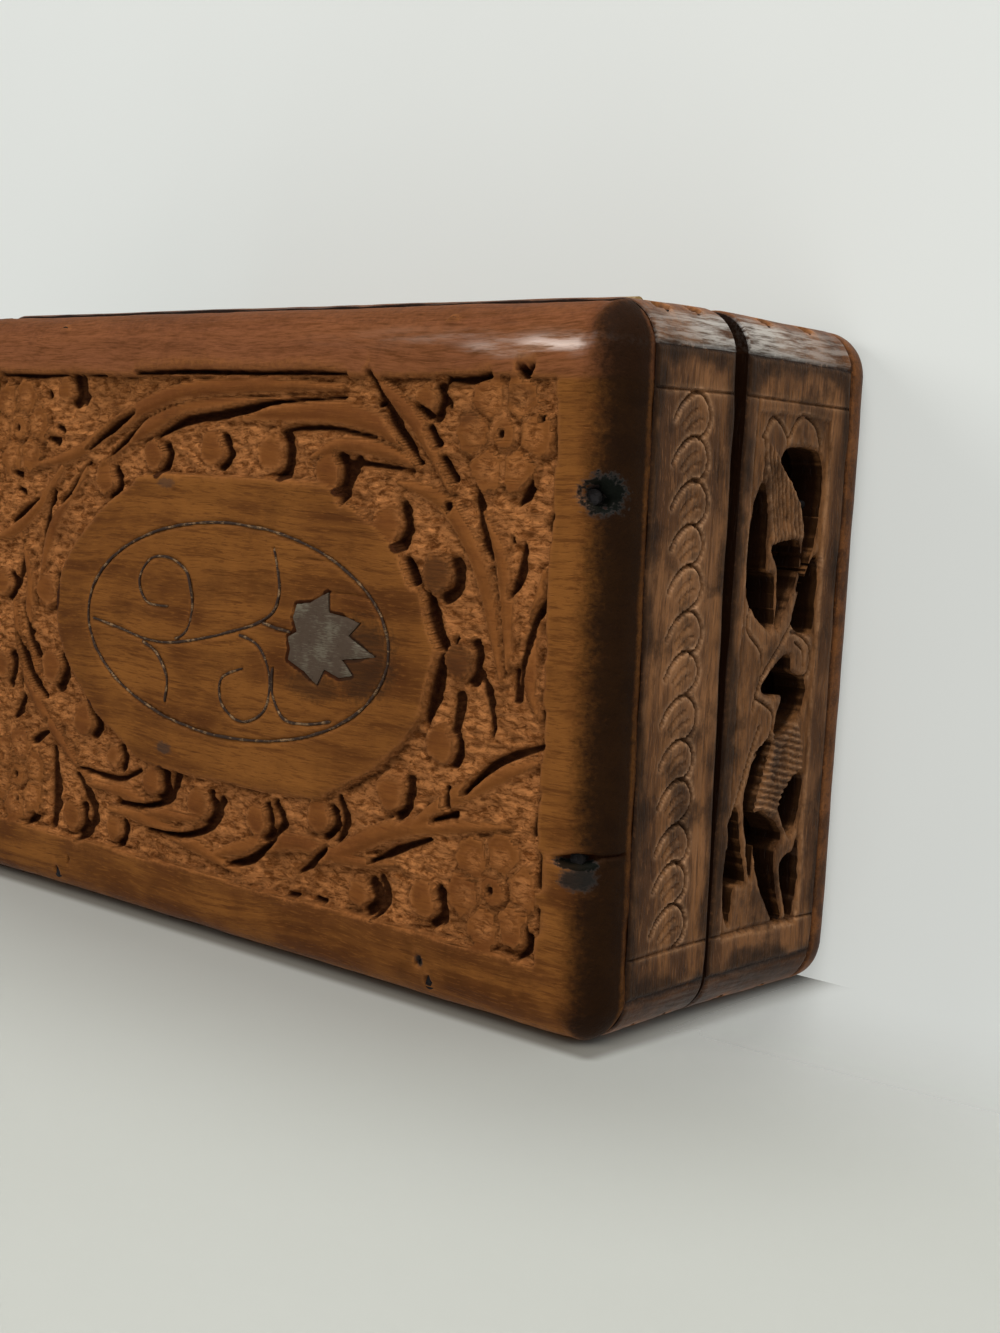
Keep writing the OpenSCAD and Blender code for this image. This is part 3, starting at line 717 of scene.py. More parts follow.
def cut_board(relief: Relief, keep: Array, edge_ease: float, edge_reach: float,
              hole_shade: float = 0.0) -> Shell:
    """Closes a carved sheet that is cut to an outline or pierced right through.

    Args:
        relief: The carved sheet.
        keep: Distance inside the wood at each point, negative in a hole.
        edge_ease: How far the wood falls back at a cut edge.
        edge_reach: How far in that goes.
        hole_shade: How dark the painted shade is at the inner edge of a hole.

    Returns:
        The board's shell.
    """
    sheet, shell = relief.sheet, Shell()
    rows, columns = relief.height.shape
    height = relief.height - edge_ease * (1 - ease(0, edge_reach, keep))
    outer = (sheet.points + sheet.normals * height[..., None]).reshape(-1, 3)
    flat = keep.reshape(-1)
    places = grid_places((rows, columns), MAP_LOW, 0.42)
    points, spots = list(outer), list(places)
    marks = {name: list(mark.reshape(-1)) for name, mark in relief.marks.items()}
    crossings: dict[tuple[int, int], int] = {}

    def crossing(a: int, b: int) -> int:
        """Finds or adds the vertex at which the outline crosses a grid line.

        Args:
            a: Index at one end of the line.
            b: Index at its other end.

        Returns:
            The vertex's index.
        """
        a, b = min(a, b), max(a, b)
        if (a, b) not in crossings:
            share = min(max(flat[a] / (flat[a] - flat[b]), LEAST_SHARE), 1 - LEAST_SHARE)
            crossings[a, b] = len(points)
            for values in (points, spots, *marks.values()):
                values.append(values[a] * (1 - share) + values[b] * share)
        return crossings[a, b]

    front: list[list[int]] = []
    walls: list[tuple[int, int]] = []
    for cell in grid_faces((rows, columns)).tolist():
        polygon: list[int] = []
        kinds: list[int] = []
        for k in range(4):
            a, b = cell[k], cell[(k + 1) % 4]
            if flat[a] > 0:
                polygon.append(a)
                kinds.append(0)
            if (flat[a] > 0) != (flat[b] > 0):
                polygon.append(crossing(a, b))
                kinds.append(1 if flat[a] > 0 else 2)
        if len(polygon) > 2:
            front.append(polygon)
            walls += [(polygon[k], polygon[(k + 1) % len(polygon)]) for k in range(len(polygon))
                      if kinds[k] == 1 and kinds[(k + 1) % len(polygon)] == 2]
    loop = grid_loop((rows, columns)).tolist()
    for a, b in zip(loop, loop[1:] + loop[:1]):
        if flat[a] > 0 or flat[b] > 0:
            walls.append((a if flat[a] > 0 else crossing(a, b), b if flat[b] > 0 else crossing(a, b)))
    used = np.unique(np.concatenate([np.array(p) for p in front]))
    place_of = {int(old): new for new, old in enumerate(used)}
    kept_points = np.array(points)[used]
    shell.add_points(kept_points, {name: np.array(values)[used] for name, values in marks.items()})
    inner = kept_points.copy()
    inner[:, sheet.inner_axis] = sheet.inner_at
    in_hole = (used >= len(outer)).astype(float)
    bare = {name: 0 * in_hole for name in relief.marks}
    # Painted shade on the inner edges of the holes, so that they look dark inside
    first = shell.add_points(inner, {**bare, "cut": in_hole * hole_shade})
    for polygon in front:
        corners = [place_of[p] for p in polygon]
        shell.add_face(corners, [tuple(spots[p]) for p in polygon])
        shell.add_face([first + c for c in corners[::-1]],
                       [tuple(spots[p] + (0, 0.43)) for p in polygon[::-1]])
    for k, (a, b) in enumerate(walls):
        p, q = place_of[a], place_of[b]
        low, high = map_stop(k / len(walls)), map_stop((k + 1) / len(walls))
        shell.add_face([q, p, first + p, first + q],
                       [(high, 0.88), (low, 0.88), (low, 0.99), (high, 0.99)])
    return shell


WELD = 1e-7
CREASE = 40
LEAF_CREASE = 50
WIRE_CREASE = 60
SOFT_CREASE = 85


def make_piece(name: str, shell: Shell, lay: Array, material: bpy.types.Material,
               sharp: float) -> bpy.types.Object:
    """Makes a Blender object from a shell.

    Args:
        name: The piece's name.
        shell: Its vertices and faces.
        lay: Matrix that places it, in millimetres.
        material: Its finish.
        sharp: Angle in degrees above which an edge shows as a crease.

    Returns:
        The object.
    """
    points = np.vstack(shell.points)
    points = (points @ lay[:3, :3].T + lay[:3, 3]) * MM
    mesh = bpy.data.meshes.new(name)
    mesh.from_pydata(points.tolist(), [], shell.faces)
    layer = mesh.uv_layers.new(name="OFBake")
    layer.data.foreach_set("uv", np.array(shell.places, np.float32).reshape(-1))
    for mark, parts in shell.marks.items():
        values = mesh.attributes.new(mark, "FLOAT", "POINT")
        values.data.foreach_set("value", np.concatenate(parts).astype(np.float32))
    work = bmesh.new()
    work.from_mesh(mesh)
    bmesh.ops.remove_doubles(work, verts=work.verts, dist=WELD)
    bmesh.ops.recalc_face_normals(work, faces=work.faces)
    work.to_mesh(mesh)
    work.free()
    mesh.shade_smooth()
    mesh.set_sharp_from_angle(angle=math.radians(sharp))
    mesh.materials.append(material)
    piece = bpy.data.objects.new(name, mesh)
    bpy.context.scene.collection.objects.link(piece)
    return piece


def fit_piece(piece: bpy.types.Object, body: str, node: str) -> None:
    """Hands a piece to the frame.

    Args:
        piece: The piece.
        body: The body that it rides on.
        node: The CAD node that it stands for.
    """
    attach(piece, body)
    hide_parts(node)
    LOG.info("%s: %d faces, on %s, for %s", piece.name, len(piece.data.polygons), body, node)


# --- Shader expressions ---


class Socket:
    """A node's output whose arithmetic adds Math nodes."""

    def __init__(self, graph: "Graph", outlet: bpy.types.NodeSocket) -> None:
        """Wraps an output.

        Args:
            graph: The graph that it belongs to.
            outlet: The output.
        """
        self.graph, self.outlet = graph, outlet

    def math(self, operation: str, *others: Any, clamp: bool = False) -> "Socket":
        """Adds a Math node.

        Args:
            operation: Blender's name of the operation.
            others: Its further operands, numbers or sockets.
            clamp: Whether the result is kept between 0 and 1.

        Returns:
            The result.
        """
        settings = {"operation": operation, "use_clamp": clamp}
        return self.graph.node("ShaderNodeMath", settings, dict(enumerate((self, *others))))

    def __add__(self, other: Any) -> "Socket":
        """Adds."""
        return self.math("ADD", other)

    __radd__ = __add__

    def __mul__(self, other: Any) -> "Socket":
        """Multiplies."""
        return self.math("MULTIPLY", other)

    __rmul__ = __mul__

    def __sub__(self, other: Any) -> "Socket":
        """Takes away."""
        return self.math("SUBTRACT", other)

    def __rsub__(self, other: Any) -> "Socket":
        """Takes this away from the other value."""
        return self * -1.0 + other

    def __pow__(self, other: Any) -> "Socket":
        """Raises to a power."""
        return self.math("POWER", other)

    def clamped(self) -> "Socket":
        """Keeps the value between 0 and 1."""
        return self.math("ADD", 0.0, clamp=True)

    def rise(self, low: float, high: float) -> "Socket":
        """Rises smoothly from 0 at one value to 1 at another.

        Args:
            low: Value at which it starts.
            high: Value at which it ends; it may be the smaller one.

        Returns:
            The share.
        """
        if low <= high:
            settings = {"interpolation_type": "SMOOTHSTEP"}
            return self.graph.node("ShaderNodeMapRange", settings, {0: self, 1: low, 2: high})
        return 1.0 - self.rise(high, low)


def paint(red: int, green: int, blue: int) -> tuple[float, ...]:
    """Turns a display colour from 0 to 255 into the shader's linear colour.

    Args:
        red: Its red.
        green: Its green.
        blue: Its blue.

    Returns:
        Red, green, blue and alpha.
    """
    shares = [value / 255 for value in (red, green, blue)]
    return *(s / 12.92 if s <= 0.04045 else ((s + 0.055) / 1.055) ** 2.4 for s in shares), 1.0


class Graph:
    """Nodes of one material or world."""

    def __init__(self, tree: bpy.types.NodeTree) -> None:
        """Empties a node tree and takes it over.

        Args:
            tree: The tree.
        """
        tree.nodes.clear()
        self.tree = tree

    def node(self, kind: str, settings: dict[str, Any], values: dict[Any, Any], out: Any = 0) -> Socket:
        """Adds a node.

        Args:
            kind: Blender's type of the node.
            settings: Its settings, set first.
            values: Numbers, colours or sockets for its inputs, by name or index.
            out: Which output is returned.

        Returns:
            That output.
        """
        node = self.tree.nodes.new(kind)
        for key, value in settings.items():
            setattr(node, key, value)
        for key, value in values.items():
            if isinstance(value, Socket):
                self.tree.links.new(value.outlet, node.inputs[key])
            else:
                node.inputs[key].default_value = value
        return Socket(self, node.outputs[out] if len(node.outputs) else None)

    def place(self) -> Socket:
        """Gives the point on the piece in millimetres, in the row frame of the closed box."""
        here = self.node("ShaderNodeTexCoord", {}, {}, "Object")
        return self.node("ShaderNodeVectorMath", {"operation": "SCALE"}, {0: here, "Scale": 1 / MM})

    def stretched(self, place: Socket, scale: Triple, offset: float = 0.0) -> Socket:
        """Scales a place on each axis.

        Args:
            place: The place.
            scale: Factor on each axis.
            offset: Shift, so that patterns differ.

        Returns:
            The new place.
        """
        values = {0: place, 1: scale, 2: (offset, offset * 1.7, offset * 0.6)}
        return self.node("ShaderNodeVectorMath", {"operation": "MULTIPLY_ADD"}, values)

    def noise(self, place: Socket, scale: float, detail: float = 2.0, rough: float = 0.5,
              bend: float = 0.0) -> Socket:
        """Adds smooth random values, mostly between 0.3 and 0.7."""
        values = {"Vector": place, "Scale": scale, "Detail": detail, "Roughness": rough, "Distortion": bend}
        return self.node("ShaderNodeTexNoise", {"noise_dimensions": "3D"}, values)

    def mark(self, name: str) -> Socket:
        """Reads one of the piece's carved marks."""
        settings = {"attribute_type": "GEOMETRY", "attribute_name": name}
        return self.node("ShaderNodeAttribute", settings, {}, "Fac")

    def blend(self, share: Any, low: Any, high: Any) -> Socket:
        """Mixes two colours.

        Args:
            share: How much of the second one.
            low: The first colour, from a socket or as a display colour.
            high: The second colour.

        Returns:
            The mixed colour.
        """
        low, high = (side if isinstance(side, Socket) else paint(*side) for side in (low, high))
        settings = {"data_type": "RGBA", "clamp_factor": True}
        return self.node("ShaderNodeMix", settings, {0: share, 6: low, 7: high}, 2)

    def layers(self, colour: Any, *layers: tuple[Any, Any]) -> Socket:
        """Lays colours over a first one.

        Args:
            colour: The first colour.
            layers: How much of each further colour shows, and the colour.

        Returns:
            The mixed colour.
        """
        for share, shade in layers:
            colour = self.blend(share, colour, shade)
        return colour

    def bump(self, height: Socket, distance_mm: float, strength: float,
             under: Optional[Socket] = None) -> Socket:
        """Adds a Bump node.

        Args:
            height: Heights from 0 to 1.
            distance_mm: How high 1 stands.
            strength: Share of it that shows.
            under: Normal that it adds to.

        Returns:
            The bumped normal.
        """
        values = {"Height": height, "Distance": distance_mm * MM, "Strength": strength}
        if under is not None:
            values["Normal"] = under
        return self.node("ShaderNodeBump", {}, values)

    def surface(self, values: dict[str, Any]) -> None:
        """Adds the shader of a surface and links it to the output."""
        shader = self.node("ShaderNodeBsdfPrincipled", {}, values)
        self.node("ShaderNodeOutputMaterial", {}, {"Surface": shader})


def new_graph(name: str) -> tuple[bpy.types.Material, Graph]:
    """Makes an empty material.

    Args:
        name: The finish's name.

    Returns:
        The material and its graph.
    """
    material = bpy.data.materials.new(name)
    material.use_nodes = True
    return material, Graph(material.node_tree)


# --- Finishes ---


class GrainWay(Enum):
    """Axis along which a board's grain runs."""

    ALONG_X = 0
    ALONG_Y = 1

    def squeeze(self, factor: float) -> Triple:
        """Gives the factors that draw a pattern out along the grain."""
        return tuple(factor if axis == self.value else 1.0 for axis in range(3))


@dataclass(frozen=True)
class Spot:
    """A stain on the wood, in the row frame of the closed box, in millimetres."""

    centre: Triple
    radii: Triple
    strength: float = 1.0

    @staticmethod
    def on_lid(x: float, y: float, below: float, radii: Triple, strength: float = 1.0) -> "Spot":
        """Places a stain on the lid.

        Args:
            x: Place along the box.
            y: Place across it.
            below: Depth below the carved face.
            radii: Half sizes of the stain.
            strength: How dark it is.

        Returns:
            The stain.
        """
        place = SIZES.lay() @ np.array([x, y, SIZES.lid_depth - below, 1.0])
        return Spot(tuple(place[:3].tolist()), radii, strength)


@dataclass(frozen=True)
class Grain:
    """Random patterns of one wood, as sockets."""

    figure: Socket
    lines: Socket
    fine: Socket
    pores: Socket
    patch: Socket
    speck: Socket
    chips: Socket


@dataclass(frozen=True)
class WoodFinish:
    """Oiled and stained hardwood that shows wear.

    The colours are, in order: plain wood, its dark and its pale figure, the freshly cut ground and the
    painted shade in its low places, leaves and berries, the painted shade of cuts, cavities and gaps, which
    also darkens pores and joints, ridges that show wear and a painted highlight, the ruddy border, dark wood
    with painted shade, and polished end grain with a painted highlight.
    """

    name: str
    way: GrainWay
    body: Tint
    streak: Tint
    light: Tint
    chip: Tint = (206, 135, 77)
    hollow_shade: Tint = (122, 70, 31)
    raised: Tint = (110, 62, 28)
    recess: Tint = (22, 9, 3)
    worn_and_highlight: Tint = (154, 102, 58)
    ruddy: Tint = (122, 74, 47)
    dark_and_shade: Tint = (26, 13, 4)
    end_grain_and_highlight: Tint = (150, 141, 131)
    soot_tint: Tint = (42, 28, 17)
    ink_tint: Tint = (6, 10, 7)
    halo_tint: Tint = (48, 46, 44)
    rings_squeeze: Triple = (1.6, 1.6, 0.16)
    grime: float = 0.15
    rim_shade: bool = False
    roughness: float = 0.55
    shine: float = 0.06
    pore: float = 1.0
    grain_depth: float = 0.12
    ink: tuple[Spot, ...] = ()
    soot: tuple[Spot, ...] = ()

    def _grain(self, graph: Graph, place: Socket) -> Grain:
        """Adds the wood's random patterns.

        Args:
            graph: The material's graph.
            place: Point on the piece.

        Returns:
            The patterns.
        """
        swirl = graph.node("ShaderNodeTexNoise", {}, {"Vector": place, "Scale": 0.025}, "Color")
        bent = graph.node("ShaderNodeVectorMath", {"operation": "MULTIPLY_ADD"},
                          {0: swirl, 1: (5.0, 5.0, 5.0), 2: place})

        def drawn(squeeze: float, offset: float, scale: float, detail: float, rough: float) -> Socket:
            """Adds noise that is drawn out along the grain."""
            along = graph.stretched(bent, self.way.squeeze(squeeze), offset)
            return graph.noise(along, scale, detail, rough)

        return Grain(
            figure=drawn(0.05, 0.0, 0.20, 3.0, 0.6),
            lines=drawn(0.07, 7.0, 1.0, 4.0, 0.7),
            fine=drawn(0.12, 19.0, 2.9, 3.0, 0.65),
            pores=drawn(0.08, 31.0, 2.4, 1.0, 0.5).rise(0.62, 0.72),
            patch=graph.noise(place, 0.055, 3.0, 0.55),
            speck=graph.noise(place, 1.3, 2.0, 0.6),
            chips=graph.noise(graph.stretched(place, (0.5, 1.25, 1.0), 3.0), 1.0, 5.0, 0.75, 0.5))

    def _bare(self, graph: Graph, grain: Grain) -> Socket:
        """Colours the bare wood.

        Args:
            graph: The material's graph.
            grain: The wood's patterns.

        Returns:
            The colour.
        """
        return graph.layers(
            self.streak,
            (grain.figure.rise(0.40, 0.56), self.body),
            (grain.patch.rise(0.42, 0.66) * 0.6, self.light),
            (grain.lines.rise(0.50, 0.36) * 0.7, self.streak),
            (grain.fine.rise(0.44, 0.34) * 0.5, self.streak),
            (grain.fine.rise(0.54, 0.66) * 0.4, self.light),
            (grain.pores * 0.3 * self.pore, self.recess))

    def _stained(self, graph: Graph, place: Socket, grain: Grain, colour: Socket) -> Socket:
        """Adds the soot and ink stains.

        Args:
            graph: The material's graph.
            place: Point on the piece.
            grain: The wood's patterns.
            colour: Colour of the clean wood.

        Returns:
            The stained colour.
        """
        ragged = (grain.speck - 0.5) * 0.9 + (grain.lines - 0.5) * 0.8

        def stain(spots: tuple[Spot, ...]) -> Socket:
            """Adds up stains.

            Args:
                spots: The stains.

            Returns:
                How stained the wood is.
            """
            total: Any = 0.0
            for spot in spots:
                away: Any = place
                for operation, other in (("SUBTRACT", spot.centre), ("DIVIDE", spot.radii)):
                    away = graph.node("ShaderNodeVectorMath", {"operation": operation}, {0: away, 1: other})
                reach = graph.node("ShaderNodeVectorMath", {"operation": "LENGTH"}, {0: away}, "Value")
                total = ((reach + ragged).rise(1.15, 0.55) * spot.strength).math("MAXIMUM", total)
            return total

        if self.soot:
            colour = graph.blend(stain(self.soot) * (0.6 + grain.fine.rise(0.35, 0.6) * 0.4), colour,
                                 self.soot_tint)
        if self.ink:
            ink = stain(self.ink)
            halo = graph.blend(ink.rise(0.3, 0.8), self.halo_tint, self.ink_tint)
            colour = graph.blend(ink.rise(0.0, 0.7) * 0.95, colour, halo)
        return colour

    def build(self) -> bpy.types.Material:
        """Builds the material.

        Returns:
            The material.
        """
        material, graph = new_graph(self.name)
        place = graph.place()
        grain = self._grain(graph, place)
        lines, fine, patch, speck, chips = grain.lines, grain.fine, grain.patch, grain.speck, grain.chips
        ground, cavity, ridge, seam, cut = map(graph.mark, ("ground", "cavity", "ridge", "seam", "cut"))
        ruddy, dark_and_shade, polish_and_highlight, raised = map(graph.mark, ("ruddy", "dark_and_shade", "polish_and_highlight", "raised"))

        # Cut ground: pale fresh-cut wood on the raised chips, with painted shade in the low places between
        # them
        rough_cut = graph.blend(chips.rise(0.37, 0.60), self.hollow_shade, self.chip)
        red_grain = graph.blend(lines.rise(0.3, 0.6) * 0.5 + fine.rise(0.3, 0.6) * 0.5, self.streak,
                                self.ruddy)
        grime = graph.noise(graph.stretched(place, (1.0, 1.0, 1.0), 11.0), 0.11, 5.0, 0.7)
        rings = graph.noise(graph.stretched(place, self.rings_squeeze, 41.0), 0.9, 4.0, 0.7)
        # Pale polished end grain in streaks, lightened into a painted highlight
        polish_and_highlight_colour = graph.blend((rings * 0.7 + patch * 0.6).rise(0.50, 0.76), self.dark_and_shade, self.end_grain_and_highlight)
        dark_and_shade_share = dark_and_shade + (speck - 0.5) * 0.4 + (lines - 0.5) * 0.5
        cavity_shade = cavity * 1.05 + ground * chips.rise(0.38, 0.28) * 0.55
        colour = graph.layers(
            self._bare(graph, grain),
            (raised * 0.5, self.raised),
            (ground * (0.6 + patch.rise(0.3, 0.6) * 0.4), rough_cut),
            (ruddy * 0.85, red_grain),
            # Ridges lightened by wear and by a painted highlight
            (ridge * (0.35 + speck.rise(0.4, 0.6) * 0.4), self.worn_and_highlight),
            (grime.rise(0.50, 0.66) * self.grime, self.dark_and_shade),
            # Polished places, with their painted highlight
            (polish_and_highlight * (0.6 + rings.rise(0.40, 0.60) * 0.4), polish_and_highlight_colour),
            # Dark wood, with painted shade on the panel's rounded ends and front edge and on the front
            # boards' corners
            (dark_and_shade_share.rise(0.1, 0.95) * 0.95, self.dark_and_shade),
            # Painted shade in the carved cavities and in the lowest chips of the cut ground
            (cavity_shade.clamped() * (0.75 + speck.rise(0.35, 0.6) * 0.2), self.recess),
            # Painted shade in the cuts, gouges, pits and holes
            ((cut + (chips - 0.5) * 0.5).rise(0.25, 0.7) * 0.9, self.recess),
            (seam * speck.rise(0.30, 0.5) * 0.8, self.recess))
        # Painted shade on the rims that look up or down into the gap between lid and base
        if self.rim_shade:
            facing = graph.node("ShaderNodeTexCoord", {}, {}, "Normal")
            upright = graph.node("ShaderNodeSeparateXYZ", {}, {0: facing}, "Z").math("ABSOLUTE")
            colour = graph.blend(upright.rise(0.85, 0.97) * 0.85, colour, self.recess)
        colour = self._stained(graph, place, grain, colour)

        rough = self.roughness + ground * 0.2 + (fine - 0.5) * 0.3 + cavity * 0.15 + (patch - 0.5) * 0.25
        height = fine * 0.5 + lines * 0.4 - grain.pores * 0.4 * self.pore
        rugged = graph.bump(chips * ground, 1.5, 1.0)
        polish = (polish_and_highlight * rings.rise(0.40, 0.62)).clamped()
        graph.surface({"Base Color": colour, "Roughness": rough.clamped(),
                       "Normal": graph.bump(height, self.grain_depth, 0.9, rugged),
                       "Specular IOR Level": self.shine, "Coat Weight": polish,
                       "Coat Roughness": 0.28, "Coat IOR": 1.7})
        return material


@dataclass(frozen=True)
class MetalFinish:
    """Old metal: clean where rubbing has bared it, dull and spotted elsewhere."""

    name: str
    clean: Tint
    dull: Tint
    spotted: Tint
    shine: float
    roughness: float
    clean_share: float = 0.35
    scale: float = 1.0
    spots: float = 0.5
    specular: float = 0.5

    def build(self) -> bpy.types.Material:
        """Builds the material.

        Returns:
            The material.
        """
        material, graph = new_graph(self.name)
        place = graph.place()
        cloud = graph.noise(place, 0.35 * self.scale, 4.0, 0.6)
        grit = graph.noise(place, 2.6 * self.scale, 3.0, 0.6)
        scratch = graph.noise(graph.stretched(place, (0.5, 5.0, 3.0)), 1.6, 2.0, 0.5, 0.3)
        low = 0.62 - 0.3 * self.clean_share
        bare = (cloud + (scratch - 0.5) * 0.5).rise(low - 0.08, low + 0.1)
        spots = grit.rise(0.58, 0.7) * self.spots
        colour = graph.layers(self.dull, (bare, self.clean), (spots, self.spotted))
        metallic = (bare * 0.6 + 0.4) * self.shine * (1.0 - spots * 0.7)
        rough = self.roughness + (1.0 - bare) * 0.22 + (grit - 0.5) * 0.3
        normal = graph.bump(grit * 0.6 + scratch * 0.4, 0.06, 0.8)
        graph.surface({"Base Color": colour, "Metallic": metallic.clamped(), "Roughness": rough.clamped(),
                       "Normal": normal, "Specular IOR Level": self.specular})
        return material


# --- Patterns ---


